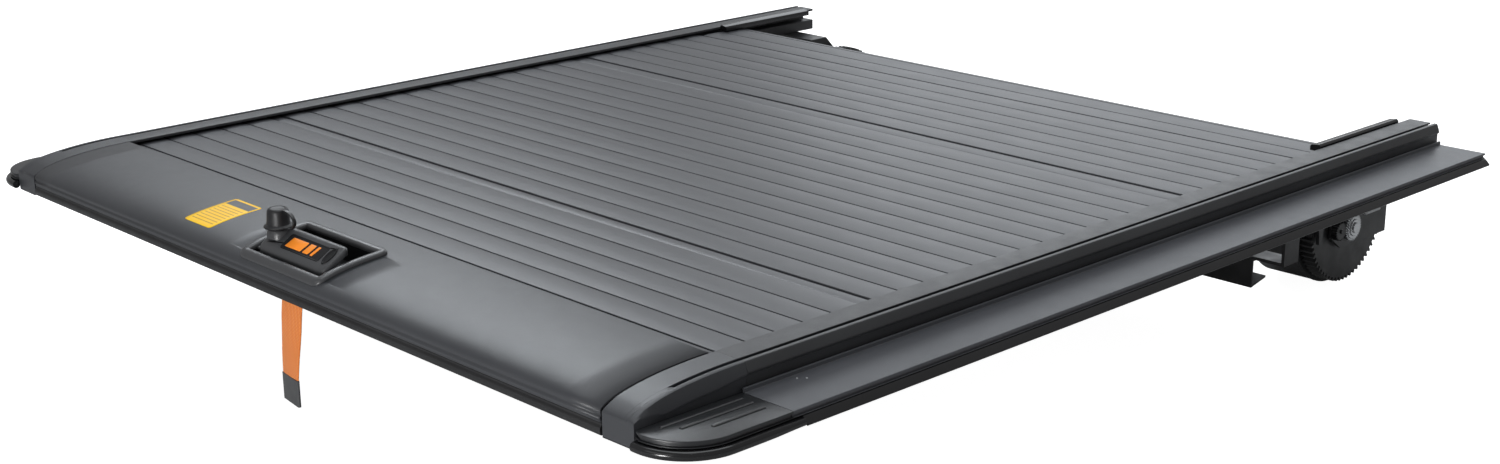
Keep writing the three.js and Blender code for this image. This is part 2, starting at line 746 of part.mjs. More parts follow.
// The drum's tube closed by its shaft, which passes through both wheels and runs in the side plates.
function drum() {
  const tube = roundBar(DRUM_R, -DRUM_HALF, DRUM_HALF, DRUM_Y, DRUM_Z, 32, DRUM_R - DRUM_WALL)
  const shaft = roundBar(SHAFT_R, -PLATE_X - PLATE_THICK, PLATE_X + PLATE_THICK, DRUM_Y, DRUM_Z, 24)
  const web = (x) => roundBar(DRUM_R - 1, x, x + DRUM_WALL, DRUM_Y, DRUM_Z, 32)
  const offset = (SHAFT_R + DRUM_R) / 2
  const port = (sign) => roundBar(WEB_PORT_R, -DRUM_HALF, DRUM_HALF, DRUM_Y + sign * offset, DRUM_Z, 12)
  const body = join(tube, shaft, web(-DRUM_HALF + WEB_INSET), web(DRUM_HALF - WEB_INSET - DRUM_WALL))
  return cut(body, port(1), port(-1))
}

// Part of a drum housing beside the right wheel: it covers the drum's tailgate side and underside.
function guideCup() {
  const [from, to] = [Math.PI * 0.93, Math.PI * 1.55]
  const curved = (outside, inside) => [
    ...arc(DRUM_Y, DRUM_Z, outside, outside, from, to, 20),
    ...arc(DRUM_Y, DRUM_Z, inside, inside, to, from, 20),
  ]
  const front = WHEEL_FACE - WHEEL_THICK - CUP_GAP
  const rear = front - CUP_LENGTH
  const wall = drawn('x', curved(CUP_R + CUP_WALL, CUP_R), rear, front)
  const back = drawn('x', curved(CUP_R + CUP_WALL - 1, CUP_BACK_R), rear, rear + CUP_WALL)
  const foot = block(
    rear,
    rear + CUP_FOOT,
    BEAM_Y + BEAM_DEPTH + GAP,
    DRUM_Y - CUP_R * 0.96,
    BEAM_BOTTOM + BEAM_HEIGHT - CUP_FOOT,
    BEAM_BOTTOM + BEAM_HEIGHT,
  )
  return join(wall, back, cut(foot, roundBar(CUP_R, rear - 1, rear + CUP_FOOT + 1, DRUM_Y, DRUM_Z, 96)))
}

// Hangs from the rail's underside, outside the wheel, and carries the shaft. `topEnd` is where its
// flange ends, and `reach` and `drop` place the slanted corner past it. `studs` are gear centres.
function sidePlate({ topEnd, reach, drop, studs }) {
  const x1 = PLATE_X + PLATE_THICK
  const front = DRUM_Y - PLATE_FRONT
  const outline = [
    [front, -GAP],
    [topEnd, -GAP],
    [DRUM_Y + reach, -GAP - drop],
    [DRUM_Y + reach, DRUM_Z - PLATE_DROP],
    [front + PLATE_FRONT / 2, DRUM_Z - PLATE_DROP],
    [front, DRUM_Z - PLATE_DROP / 2],
  ]
  const bore = circle(DRUM_Y, DRUM_Z, SHAFT_R + BORE_CLEAR, 24)
  const plate = drawn('x', outline, PLATE_X, x1, [bore])
  const flange = block(PLATE_X, RAIL_OUT - 4, front, topEnd, -PLATE_THICK - GAP, -GAP)
  const stud = ([y, z]) => roundBar(STUD_R, PLATE_X + 1, x1 + GAP + GEAR_THICK + STUD_PROUD, y, z, 16)
  return join(plate, flange, ...studs.map(stud))
}

function smallGear(count, y, z, start) {
  const pitch = (GEAR_MODULE * count) / 2
  const x0 = PLATE_X + PLATE_THICK + GAP
  const outline = teeth(y, z, pitch + 0.85 * GEAR_MODULE, pitch - 1.15 * GEAR_MODULE, count, start, 0.42)
  return drawn('x', outline, x0, x0 + GEAR_THICK, [circle(y, z, STUD_R + BORE_CLEAR, 16)])
}

const BLACK_Y = SILVER_Y - (GEAR_MODULE * (SILVER_TEETH + BLACK_TEETH)) / 2 - GEAR_SPREAD

// The pawl spring beside the silver gear, as a ribbed bar.
function pawlSpring() {
  const turns = 9
  const points = [[0, 0]]
  for (let i = 0; i <= turns * 2; i++) {
    points.push([i % 2 ? SPRING_R : SPRING_R - 1, (i / (turns * 2)) * SPRING_LENGTH])
  }
  points.push([0, SPRING_LENGTH])
  const bar = new THREE.LatheGeometry(points.map(([r, y]) => new THREE.Vector2(r, y)), 12)
  return bar.translate(PLATE_X + PLATE_THICK + GAP + SPRING_R, DRUM_Y + SPRING_START, DRUM_Z + 1)
}

// Channel that ties the two sides together under the curtain and holds the drum's arms.
function crossBeam() {
  const [y0, y1, w] = [BEAM_Y, BEAM_Y + BEAM_DEPTH, BEAM_WALL]
  const [z0, z1] = [BEAM_BOTTOM, BEAM_BOTTOM + BEAM_HEIGHT]
  const outline = [
    [y0, z0],
    [y1, z0 + 8],
    [y1, z0 + 8 + w],
    [y0 + w, z0 + w],
    [y0 + w, z1 - w],
    [y1, z1 - w],
    [y1, z1],
    [y0, z1],
  ]
  return drawn('x', outline, -BEAM_HALF, BEAM_HALF)
}

// Bracket from the rail's underside down to the cross beam.
function hanger() {
  const x0 = OPENING_HALF - HANGER_INSET
  const [y0, y1] = [BEAM_Y, BEAM_Y + BEAM_DEPTH]
  const z = BEAM_BOTTOM + BEAM_HEIGHT + GAP
  const strap = block(x0, x0 + ARM_THICK, y0, y1, z, -GAP)
  const head = block(x0, RAIL_OUT - 4, y0, y1, -ARM_THICK - GAP, -GAP)
  const foot = block(BEAM_HALF - 2 * HANGER_INSET, x0 + ARM_THICK, y0, y1, z, z + ARM_THICK)
  return join(strap, head, foot)
}

add('drum', drum(), finish.steel())
add('guide_cup', guideCup(), finish.moulded())
add('cross_beam', crossBeam(), finish.steel())
const gearStuds = [[SILVER_Y, SILVER_Z], [BLACK_Y, SILVER_Z]]
const plates = {
  right: { topEnd: RAIL_END, reach: PLATE_REACH, drop: PLATE_DROP, studs: gearStuds },
  left: { topEnd: RAIL_END - LEFT_TOP_INSET, reach: LEFT_REACH, drop: LEFT_DROP, studs: [] },
}
for (const [side, hand] of [[RIGHT, 'right'], [LEFT, 'left']]) {
  add(`drive_wheel_${hand}`, onSide(side, driveWheel()), finish.moulded())
  add(`side_plate_${hand}`, onSide(side, sidePlate(plates[hand])), finish.steel())
  add(`beam_hanger_${hand}`, onSide(side, hanger()), finish.steel())
}
add('silver_gear', smallGear(SILVER_TEETH, SILVER_Y, SILVER_Z, Math.PI), finish.bright())
add('black_gear', smallGear(BLACK_TEETH, BLACK_Y, SILVER_Z, Math.PI / BLACK_TEETH), finish.steel())
add('pawl_spring', pawlSpring(), finish.bright())

export default cover
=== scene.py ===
# %% [markdown]
# # A roll-up truck bed cover
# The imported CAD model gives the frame: where every piece is, what moves, and how big it all is.
# This lesson dresses that frame. Most of the cover is aluminium extrusion, which is one section
# carried along a straight line, so most cells here work out a section with numpy and carry it.

# %% Load the frame
import math

import bmesh
import bpy
import numpy as np
from mathutils import Matrix, Vector
from mathutils.geometry import tessellate_polygon


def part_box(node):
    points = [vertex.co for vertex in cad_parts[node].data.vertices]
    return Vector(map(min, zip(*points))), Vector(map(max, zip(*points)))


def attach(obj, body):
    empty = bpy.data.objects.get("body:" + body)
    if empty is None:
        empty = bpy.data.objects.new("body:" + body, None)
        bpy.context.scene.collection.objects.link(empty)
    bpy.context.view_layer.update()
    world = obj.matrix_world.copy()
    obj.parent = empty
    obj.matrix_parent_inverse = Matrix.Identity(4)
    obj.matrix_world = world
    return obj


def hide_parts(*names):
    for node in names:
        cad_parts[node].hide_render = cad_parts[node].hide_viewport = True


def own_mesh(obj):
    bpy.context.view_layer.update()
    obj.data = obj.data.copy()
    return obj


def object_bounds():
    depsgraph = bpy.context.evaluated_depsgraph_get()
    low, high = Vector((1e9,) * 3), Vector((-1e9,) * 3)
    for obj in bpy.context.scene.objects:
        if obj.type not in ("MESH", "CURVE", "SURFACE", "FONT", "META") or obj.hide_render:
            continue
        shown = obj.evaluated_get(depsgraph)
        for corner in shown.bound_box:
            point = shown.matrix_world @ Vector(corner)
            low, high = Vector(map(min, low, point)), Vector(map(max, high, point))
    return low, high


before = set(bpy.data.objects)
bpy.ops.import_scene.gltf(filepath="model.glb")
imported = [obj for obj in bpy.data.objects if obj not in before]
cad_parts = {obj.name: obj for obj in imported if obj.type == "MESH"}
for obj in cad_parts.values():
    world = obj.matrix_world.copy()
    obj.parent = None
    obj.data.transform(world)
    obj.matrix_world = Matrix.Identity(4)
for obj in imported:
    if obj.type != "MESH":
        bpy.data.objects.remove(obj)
CAD_BOX = [list(corner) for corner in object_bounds()]
MM = 0.001
print("CAD box", CAD_BOX)

# %% [markdown]
# The camera stands off the truck's right rear corner, a little above the cover, and looks forward
# across it. It is placed first because the strap that hangs in view is measured against it.

# %% Camera
CAMERA_PLACE = Vector((2.169, -1.248, 0.805))
CAMERA_AIM = Vector((0.3347, 0.4997, 0.0320))
CAMERA_LENS = 49.86
CAMERA_ROLL = math.radians(-0.47)
SENSOR_WIDTH = 36.0
SEES_TO = 100.0

camera_data = bpy.data.cameras.new("camera")
camera_data.lens = CAMERA_LENS
camera_data.sensor_width = SENSOR_WIDTH
camera_data.clip_end = SEES_TO
camera = bpy.data.objects.new("camera", camera_data)
bpy.context.scene.collection.objects.link(camera)
turn = (CAMERA_AIM - CAMERA_PLACE).to_track_quat("-Z", "Y").to_matrix().to_4x4()
camera.matrix_world = Matrix.Translation(CAMERA_PLACE) @ turn @ Matrix.Rotation(CAMERA_ROLL, 4, "Z")
bpy.context.scene.camera = camera
print("camera", round((CAMERA_AIM - CAMERA_PLACE).length, 3), "m from its aim")

# %% [markdown]
# Materials come next. Each finish is a Principled shader whose colour, roughness and bump are
# moved a little by noise on Object coordinates, at the grain size of the real coat. Image textures
# could do this too, but noise has no seams and needs no unwrapping.

# %% Material tools
NOISE_LOW, NOISE_HIGH = 0.3, 0.7
TINT_FROM, TINT_TO = 0.35, 0.65


def socket(node, name, value):
    """Sets a shader socket to one value."""
    node.inputs[name].default_value = value


def new_material(name, color, rough, metal=0.0):
    """An empty Principled material, with its nodes and links."""
    material = bpy.data.materials.new(name)
    material.use_nodes = True
    nodes, links = material.node_tree.nodes, material.node_tree.links
    shader = nodes["Principled BSDF"]
    socket(shader, "Base Color", (*color, 1.0))
    socket(shader, "Roughness", rough)
    socket(shader, "Metallic", metal)
    return material, nodes, links, shader


def noise(nodes, links, scale, detail=3.0, stretch=(1, 1, 1)):
    """Noise on Object coordinates, which are first multiplied along the axes by `stretch`."""
    coords = nodes.new("ShaderNodeTexCoord")
    mapping = nodes.new("ShaderNodeMapping")
    mapping.inputs["Scale"].default_value = stretch
    texture = nodes.new("ShaderNodeTexNoise")
    texture.inputs["Scale"].default_value = scale
    texture.inputs["Detail"].default_value = detail
    links.new(coords.outputs["Object"], mapping.inputs["Vector"])
    links.new(mapping.outputs["Vector"], texture.inputs["Vector"])
    return texture.outputs["Fac"]


def spread(nodes, links, factor, low, high):
    """Maps a noise factor, which mostly lies between NOISE_LOW and NOISE_HIGH, to low..high."""
    remap = nodes.new("ShaderNodeMapRange")
    remap.inputs["From Min"].default_value = NOISE_LOW
    remap.inputs["From Max"].default_value = NOISE_HIGH
    remap.inputs["To Min"].default_value = low
    remap.inputs["To Max"].default_value = high
    links.new(factor, remap.inputs["Value"])
    return remap.outputs["Result"]


def tint(nodes, links, factor, dark, light):
    """A ramp: dark below TINT_FROM, light above TINT_TO, and their straight mix between."""
    ramp = nodes.new("ShaderNodeValToRGB")
    ramp.color_ramp.elements[0].color = (*dark, 1.0)
    ramp.color_ramp.elements[1].color = (*light, 1.0)
    ramp.color_ramp.elements[0].position = TINT_FROM
    ramp.color_ramp.elements[1].position = TINT_TO
    links.new(factor, ramp.inputs["Fac"])
    return ramp.outputs["Color"]


def add_bump(nodes, links, shader, height, strength, distance):
    """Bends the shader's normal as if the surface rose by height * distance, times strength."""
    bump = nodes.new("ShaderNodeBump")
    bump.inputs["Strength"].default_value = strength
    bump.inputs["Distance"].default_value = distance
    links.new(height, bump.inputs["Height"])
    links.new(bump.outputs["Normal"], shader.inputs["Normal"])


print("noise is read from", NOISE_LOW, "to", NOISE_HIGH)

# %% [markdown]
# Nearly every finish here is one kind of thing: a coat or a moulding with a fine grain. One function
# builds them all, so that two blacks differ only in their numbers.

# %% A coat with grain
DRIFT_SCALE, PATCH_SCALE = 6.0, 45.0
GRAIN_HEIGHT = 0.0004


def coat(name, dark, light, rough, metal=0.0, grain=900.0, depth=0.3, specular=0.5, stretch=(1, 1, 1)):
    """A coat or moulding: colour drifts slowly between dark and light, roughness varies in patches
    within `rough`, and the bump is fine noise of the given grain and depth."""
    material, nodes, links, shader = new_material(name, dark, rough[0], metal)
    socket(shader, "Specular IOR Level", specular)
    slow = noise(nodes, links, DRIFT_SCALE, 2.0, stretch)
    links.new(tint(nodes, links, slow, dark, light), shader.inputs["Base Color"])
    patch = noise(nodes, links, PATCH_SCALE, 4.0, stretch)
    links.new(spread(nodes, links, patch, *rough), shader.inputs["Roughness"])
    fine = noise(nodes, links, grain, 2.0, stretch)
    add_bump(nodes, links, shader, fine, depth, GRAIN_HEIGHT)
    return material


print("a coat drifts at scale", DRIFT_SCALE, "and is patchy at scale", PATCH_SCALE)

# %% [markdown]
# The coats are dark and satin. The powder coat on the aluminium has the finest grain, the slats are
# a little lighter than the rails, and the rubber is the glossiest of the blacks. Each call gives
# the dark and light colour, then the range of roughness.

# %% Finishes
powder = coat("powder_coat", (0.034, 0.036, 0.041), (0.038, 0.040, 0.045), (0.38, 0.41), grain=1700.0)
rail_coat = coat("rail_coat", (0.030, 0.031, 0.034), (0.038, 0.040, 0.043), (0.38, 0.46),
                 grain=1600.0, depth=0.25)
slat_coat = coat("slat_coat", (0.054, 0.056, 0.062), (0.059, 0.061, 0.067), (0.37, 0.41), grain=1300.0,
                 depth=0.22, stretch=(0.35, 1, 1))
ledge_coat = coat("ledge_coat", (0.058, 0.061, 0.069), (0.066, 0.069, 0.078), (0.36, 0.40),
                  grain=1500.0, depth=0.35)
corner_coat = coat("corner_coat", (0.014, 0.015, 0.017), (0.018, 0.019, 0.021), (0.30, 0.34), grain=1500.0)
satin_moulded = coat("satin_moulded", (0.046, 0.047, 0.050), (0.052, 0.053, 0.056), (0.30, 0.36))
pan_black = coat("pan_black", (0.004, 0.004, 0.005), (0.007, 0.007, 0.008), (0.5, 0.6),
                 grain=600.0, depth=0.2, specular=0.25)
gear_black = coat("gear_black", (0.018, 0.018, 0.019), (0.026, 0.026, 0.027), (0.42, 0.55),
                  grain=500.0, depth=0.4)
steel_black = coat("black_steel", (0.010, 0.010, 0.011), (0.018, 0.018, 0.019), (0.28, 0.42),
                   metal=0.2, grain=500.0)
rubber = coat("black_rubber", (0.007, 0.007, 0.008), (0.010, 0.010, 0.011), (0.14, 0.20),
              grain=260.0, depth=0.1)
soft_rubber = coat("soft_rubber", (0.006, 0.006, 0.007), (0.011, 0.011, 0.012), (0.38, 0.48), grain=420.0)
bright = coat("bright_steel", (0.50, 0.51, 0.52), (0.66, 0.67, 0.68), (0.22, 0.38),
              metal=1.0, grain=300.0, depth=0.25)
inlay = coat("orange_inlay", (0.95, 0.26, 0.015), (1.0, 0.32, 0.02), (0.35, 0.45), grain=600.0, depth=0.1)
tag_grey = coat("grey_tag", (0.055, 0.057, 0.06), (0.085, 0.087, 0.09), (0.6, 0.8), depth=0.5)
print("finishes", len(bpy.data.materials))

# %% [markdown]
# Two finishes need a pattern that follows the piece: the woven strap and the printed label. Both
# read the piece's own UV map, which runs 0 to 1 across and along it, so the ribs bend with the
# webbing and the print stays square on the film.

# %% Woven and printed finishes
def wave(nodes, links, direction, scale):
    """Sine bands across one direction of the UV map, closer together as `scale` grows."""
    coords = nodes.new("ShaderNodeTexCoord")
    texture = nodes.new("ShaderNodeTexWave")
    texture.bands_direction = direction
    texture.inputs["Scale"].default_value = scale
    links.new(coords.outputs["UV"], texture.inputs["Vector"])
    return texture.outputs["Fac"]


def blend_math(nodes, links, operation, a, b):
    """One Math node on a and b, each either a number or another node's output."""
    node = nodes.new("ShaderNodeMath")
    node.operation = operation
    for index, value in enumerate((a, b)):
        if isinstance(value, (int, float)):
            node.inputs[index].default_value = value
        else:
            links.new(value, node.inputs[index])
    return node.outputs["Value"]


def webbing_material():
    """Plain weave: ribs along the strap crossed by picks, with painted shade that darkens the colour in the
    hollows between them.
    """
    material, nodes, links, shader = new_material("orange_webbing", (0.85, 0.25, 0.04), 0.75)
    socket(shader, "Sheen Weight", 0.35)
    socket(shader, "Sheen Roughness", 0.4)
    ribs = wave(nodes, links, "X", 4.5)
    picks = wave(nodes, links, "Y", 22.0)
    weave = blend_math(nodes, links, "MULTIPLY", ribs, picks)
    # The tint darkens the weave's hollows: painted shade, laid over the real bump of the same weave.
    links.new(tint(nodes, links, weave, (0.74, 0.17, 0.02), (1.0, 0.44, 0.10)), shader.inputs["Base Color"])
    add_bump(nodes, links, shader, weave, 0.8, 0.0006)
    return material


def label_material():
    """Yellow film with a dark header band and faint rules, all placed on the label's UV map."""
    yellow, rule, band = (1.0, 0.60, 0.004), (0.55, 0.28, 0.005), (0.10, 0.10, 0.11)
    material, nodes, links, shader = new_material("yellow_label", yellow, 0.4)
    coords = nodes.new("ShaderNodeTexCoord")
    split = nodes.new("ShaderNodeSeparateXYZ")
    links.new(coords.outputs["UV"], split.inputs["Vector"])
    u, v = split.outputs["X"], split.outputs["Y"]

    def between(value, low, high):
        """1 where low < value < high, else 0: the product of two comparisons."""
        above = blend_math(nodes, links, "GREATER_THAN", value, low)
        return blend_math(nodes, links, "MULTIPLY", above, blend_math(nodes, links, "LESS_THAN", value, high))

    def window(u0, u1, v0, v1):
        """1 inside a rectangle of the UV map: between across, times between along."""
        return blend_math(nodes, links, "MULTIPLY", between(u, u0, u1), between(v, v0, v1))

    header = window(0.06, 0.94, 0.76, 0.95)
    rules = blend_math(nodes, links, "GREATER_THAN", wave(nodes, links, "Y", 4.0), 0.80)
    lines = blend_math(nodes, links, "MULTIPLY", rules, window(0.10, 0.90, 0.08, 0.70))
    socket(shader, "Specular IOR Level", 0.25)
    paper = tint(nodes, links, lines, yellow, rule)
    mix = nodes.new("ShaderNodeMix")
    mix.data_type = "RGBA"
    links.new(header, mix.inputs["Factor"])
    links.new(paper, mix.inputs["A"])
    mix.inputs["B"].default_value = (*band, 1.0)
    links.new(mix.outputs["Result"], shader.inputs["Base Color"])
    links.new(spread(nodes, links, noise(nodes, links, 60.0), 0.32, 0.45), shader.inputs["Roughness"])
    return material


webbing = webbing_material()
yellow_label = label_material()
print("patterned finishes", webbing.name, yellow_label.name)

# %% [markdown]
# The mesh tools come in three steps. The first makes an object from arrays of points and faces. Its
# points are already in place, so every object sits at the origin.

# %% Mesh objects
def make(name, verts, faces, material, smooth_angle=32.0, tidy=True, uv=None):
    """A mesh object at the origin from arrays; normals turned outward, edges past the angle sharp."""
    mesh = bpy.data.meshes.new(name)
    mesh.from_pydata(np.asarray(verts, float).reshape(-1, 3).tolist(), [], [list(map(int, f)) for f in faces])
    if uv is not None:
        layer = mesh.uv_layers.new(name="UVMap")
        corners = np.empty(len(mesh.loops), int)
        mesh.loops.foreach_get("vertex_index", corners)
        layer.data.foreach_set("uv", np.asarray(uv, float)[corners].ravel())
    if tidy:
        work = bmesh.new()
        work.from_mesh(mesh)
        bmesh.ops.remove_doubles(work, verts=work.verts, dist=1e-7)
        bmesh.ops.recalc_face_normals(work, faces=work.faces)
        work.to_mesh(mesh)
        work.free()
    mesh.polygons.foreach_set("use_smooth", np.ones(len(mesh.polygons), bool))
    mesh.set_sharp_from_angle(angle=math.radians(smooth_angle))
    mesh.materials.append(material)
    piece = bpy.data.objects.new(name, mesh)
    bpy.context.scene.collection.objects.link(piece)
    return piece


def grid_faces(rows, cols, closed=False):
    """Quads of a grid stored row by row; `closed` joins each row's last column to its first."""
    across = cols if closed else cols - 1
    r, c = np.meshgrid(np.arange(rows - 1), np.arange(across), indexing="ij")
    n = (c + 1) % cols
    return np.stack([r * cols + c, r * cols + n, (r + 1) * cols + n, (r + 1) * cols + c], -1).reshape(-1, 4)


def stacked(rings, first=True, last=True):
    """Quads between closed rings of points, and flat caps on the first and last ring."""
    rows, cols = rings.shape[:2]
    faces = grid_faces(rows, cols, True).tolist()
    if first:
        faces.append(list(range(cols))[::-1])
    if last:
        faces.append(list(range((rows - 1) * cols, rows * cols)))
    return rings.reshape(-1, 3), faces


print("a 3 by 4 grid has", len(grid_faces(3, 4)), "quads, and closed round", len(grid_faces(3, 4, True)))

# %% [markdown]
# An extrusion is a closed loop of points in a plane, carried to each station along a line. A hollow
# extrusion has more loops, and its ends are filled between them. Corners are rounded in the loop,
# because a real die rounds them, and a rounded edge catches light that a sharp one doesn't.

# %% Loops and extrusions
def rounded(points, radius, steps=4):
    """The loop with each corner replaced by a curve: at a corner p between a and b, the quadratic
    (1-t)^2 s + 2 t (1-t) p + t^2 e, where s and e lie `radius` back along each side."""
    points = np.asarray(points, float)
    radii = np.broadcast_to(np.asarray(radius, float), len(points))
    t = np.linspace(0, 1, steps + 1)[:, None]
    out = []
    for i, p in enumerate(points):
        before, after = points[i - 1] - p, points[(i + 1) % len(points)] - p
        lengths = np.linalg.norm(before), np.linalg.norm(after)
        r = min(radii[i], 0.49 * lengths[0], 0.49 * lengths[1])
        if r < 1e-7:
            out.append(p[None])
            continue
        s, e = p + before / lengths[0] * r, p + after / lengths[1] * r
        out.append((1 - t) ** 2 * s + 2 * t * (1 - t) * p + t ** 2 * e)
    return np.concatenate(out)


def box_loop(a0, a1, b0, b1, radius, steps=4):
    """A rectangle from (a0, b0) to (a1, b1) with its corners rounded."""
    return rounded([(a0, b0), (a1, b0), (a1, b1), (a0, b1)], radius, steps)


def fill(loops):
    """Triangles that fill the first loop less the others, as indices into all their points."""
    return tessellate_polygon([[Vector((a, b, 0)) for a, b in loop] for loop in loops])


def extrusion(loops, axis, stations):
    """Points and faces of loops carried along `axis`. A loop's point (a, b) is (y, z) on axis x,
    (x, z) on axis y and (x, y) on axis z; station s only changes the coordinate along the axis."""
    order = {"x": (1, 2, 0), "y": (0, 2, 1), "z": (0, 1, 2)}[axis]
    verts, faces, start = [], [], 0
    ends = ([], [])
    for loop in loops:
        loop = np.asarray(loop, float)
        block = np.empty((len(stations), len(loop), 3))
        block[..., order[0]] = loop[None, :, 0]
        block[..., order[1]] = loop[None, :, 1]
        block[..., order[2]] = np.asarray(stations, float)[:, None]
        verts.append(block.reshape(-1, 3))
        faces += (grid_faces(len(stations), len(loop), True) + start).tolist()
        ends[0].append(np.arange(len(loop)) + start)
        ends[1].append(np.arange(len(loop)) + start + (len(stations) - 1) * len(loop))
        start += block.shape[0] * block.shape[1]
    flat = [np.concatenate(end) for end in ends]
    for triangle in fill(loops):
        faces += [[int(flat[0][i]) for i in triangle], [int(flat[1][i]) for i in triangle]]
    return np.concatenate(verts), faces


def extruded(name, loops, axis, stations, material, **options):
    """An extrusion as an object."""
    return make(name, *extrusion(loops, axis, stations), material, **options)


print("a rounded square has", len(box_loop(0, 1, 0, 1, 0.1)), "points")

# %% [markdown]
# Most pieces come in a right and a left one, mirrored in X. Mirroring turns a mesh inside out, so
# `make` works out its normals again.

# %% Joining, mirroring and riding
def smooth_step(x, low, high):
    """0 below low, 1 above high, and t^2 (3 - 2 t) between, where t runs from 0 to 1."""
    t = np.clip((x - low) / (high - low), 0, 1)
    return t * t * (3 - 2 * t)


def mirrored(verts, side):
    """The same points on side +1, or with X turned round on side -1."""
    return np.asarray(verts, float).reshape(-1, 3) * np.array([side, 1, 1])


def together(parts):
    """Several (points, faces) joined in one list."""
    verts, faces, start = [], [], 0
    for points, quads in parts:
        points = np.asarray(points, float).reshape(-1, 3)
        verts.append(points)
        faces += [[int(i) + start for i in face] for face in quads]
        start += len(points)
    return np.concatenate(verts), faces


def finish_piece(piece, body, slot, *nodes):
    """Rides the piece on its body and hides the CAD nodes that it stands for. The slot argument is not used.
    """
    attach(piece, body)
    if nodes:
        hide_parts(*nodes)
    return piece


SIDES = ((1, "right"), (-1, "left"))


def on_side(side, name, mesh, material, body, slot, node=None, angle=32.0):
    """The right piece, or its mirror image. `*` in the piece's and the CAD node's name is the hand."""
    sign, hand = side
    piece = make(name.replace("*", hand), mirrored(mesh[0], sign), mesh[1], material, angle)
    finish_piece(piece, body, slot, *([node.replace("*", hand)] if node else []))


def both_sides(name, *rest, **options):
    """The right piece and then the left one."""
    for side in SIDES:
        on_side(side, name, *rest, **options)


def cad_corners(name):
    """The low and the high corner of a CAD node's box, in metres."""
    return tuple(np.array(corner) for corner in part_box(name))


print("cover width", round(2 * float(cad_corners("ledge_right")[1][0]), 4))

# %% [markdown]
# ## The rails
# Each rail is one extrusion: a top flange over the slat channel, a T-slot, a thin lip, a sloping
# facet and a wall. The CAD section has sharp corners. Real dies round them by half a millimetre,
# and that is what draws the bright lines along the lip, so the section is rounded before it is
# carried.

# %% Rails
rail_lo, rail_hi = cad_corners("rail_right")
RAIL_TOP = rail_hi[2]
RAIL_OUT = rail_hi[0]
FLANGE_IN = rail_lo[0]
UNDERCUT = 2.5 * MM
CHANNEL_BACK = FLANGE_IN + 26 * MM
CHANNEL_FLOOR = 18 * MM
FLANGE_UNDER = RAIL_TOP - 4 * MM
SLOT_IN = FLANGE_IN + 34 * MM
SLOT_OUT = SLOT_IN + 6 * MM
FACET_IN = RAIL_OUT - 4.5 * MM
FACET_LOW = RAIL_TOP - 11 * MM


def rail_loops():
    """The rail's outline in X and Z, and the hollow in its foot, in metres."""
    lip = RAIL_TOP - 2.5 * MM
    floor = RAIL_TOP - 11 * MM
    outline = [
        (FLANGE_IN, RAIL_TOP), (SLOT_IN, RAIL_TOP), (SLOT_IN, lip), (SLOT_IN - 3 * MM, lip),
        (SLOT_IN - 3 * MM, floor), (SLOT_OUT + 3 * MM, floor), (SLOT_OUT + 3 * MM, lip), (SLOT_OUT, lip),
        (SLOT_OUT, RAIL_TOP), (FACET_IN, RAIL_TOP), (RAIL_OUT, FACET_LOW), (RAIL_OUT, FACET_LOW - 2 * MM),
        (RAIL_OUT - UNDERCUT, FACET_LOW - 4 * MM), (RAIL_OUT - UNDERCUT, 0),
        (rail_lo[0], 0), (rail_lo[0], CHANNEL_FLOOR), (CHANNEL_BACK, CHANNEL_FLOOR),
        (CHANNEL_BACK, FLANGE_UNDER), (FLANGE_IN, FLANGE_UNDER),
    ]
    round_by = [0.6, 0.4, 0.2, 0.3, 0.6, 0.6, 0.3, 0.2, 0.5, 1.4, 0.9, 0.6, 0.6, 0.6, 0.6, 0.6, 0.8, 0.8, 0.6]
    hollow = box_loop(rail_lo[0] + 3 * MM, RAIL_OUT - UNDERCUT - 3 * MM, 3 * MM, 15 * MM, 1 * MM)
    return [rounded(outline, np.array(round_by) * MM), hollow]


rail = extrusion(rail_loops(), "y", [rail_lo[1], rail_hi[1]])
both_sides("rail_*_skin", rail, rail_coat, "rails", "powder_coat", "rail_*")
print("rail points", len(rail[0]))

# %% [markdown]
# ## The ledges
# A ledge is a flat hollow plate with a thin upstand against the rail and a small chamfer on its
# outer edge. The rubber lip below it flares out over the truck's bed wall.

# %% Ledges
ledge_lo, ledge_hi = cad_corners("ledge_right")
LEDGE_TOP = 8 * MM
LEDGE_OUT = ledge_hi[0]
EDGE_GROOVE = 2.6 * MM


def ledge_loops():
    """The ledge's outline in X and Z and its two hollow cells."""
    x0, x1 = ledge_lo[0], ledge_hi[0]
    deep = x1 - EDGE_GROOVE
    groove = [(x1, 1.2 * MM), (deep, 1.6 * MM), (deep, 4.9 * MM), (x1, 5.3 * MM)]
    outline = [(x0, 0), (x1, 0), *groove, (x1, LEDGE_TOP), (x0 + 3 * MM, LEDGE_TOP),
               (x0 + 3 * MM, ledge_hi[2]), (x0, ledge_hi[2])]
    round_by = [0.3, 0.5, 0.3, 0.2, 0.2, 0.3, 1.3, 1.0, 0.8, 0.2]
    middle = (x0 + x1) / 2
    cells = [box_loop(a, b, 2 * MM, 6 * MM, 0.5 * MM)
             for a, b in ((x0 + 3 * MM, middle - MM), (middle + MM, x1 - 3 * MM))]
    return [rounded(outline, np.array(round_by) * MM), *cells]


ledge = extrusion(ledge_loops(), "y", [ledge_lo[1], ledge_hi[1]])
both_sides("ledge_*_skin", ledge, ledge_coat, "rails", "powder_coat", "ledge_*")
print("ledge width", round(float(ledge_hi[0] - ledge_lo[0]), 4))

# %% [markdown]
# ## The ledge corners
# A moulded corner closes each ledge at the tailgate. Its outline has one big round, and three
# raised ribs start on the round and run back to the ledge. A bevel modifier could soften the edge.
# Stacked rings do it here, since they also cut the groove that runs on from the ledge's edge.

# %% Ledge corners
corner_lo, corner_hi = cad_corners("ledge_corner_right")
CORNER_R = 66 * MM
RIB_SHARES = (0.17, 0.38, 0.62)


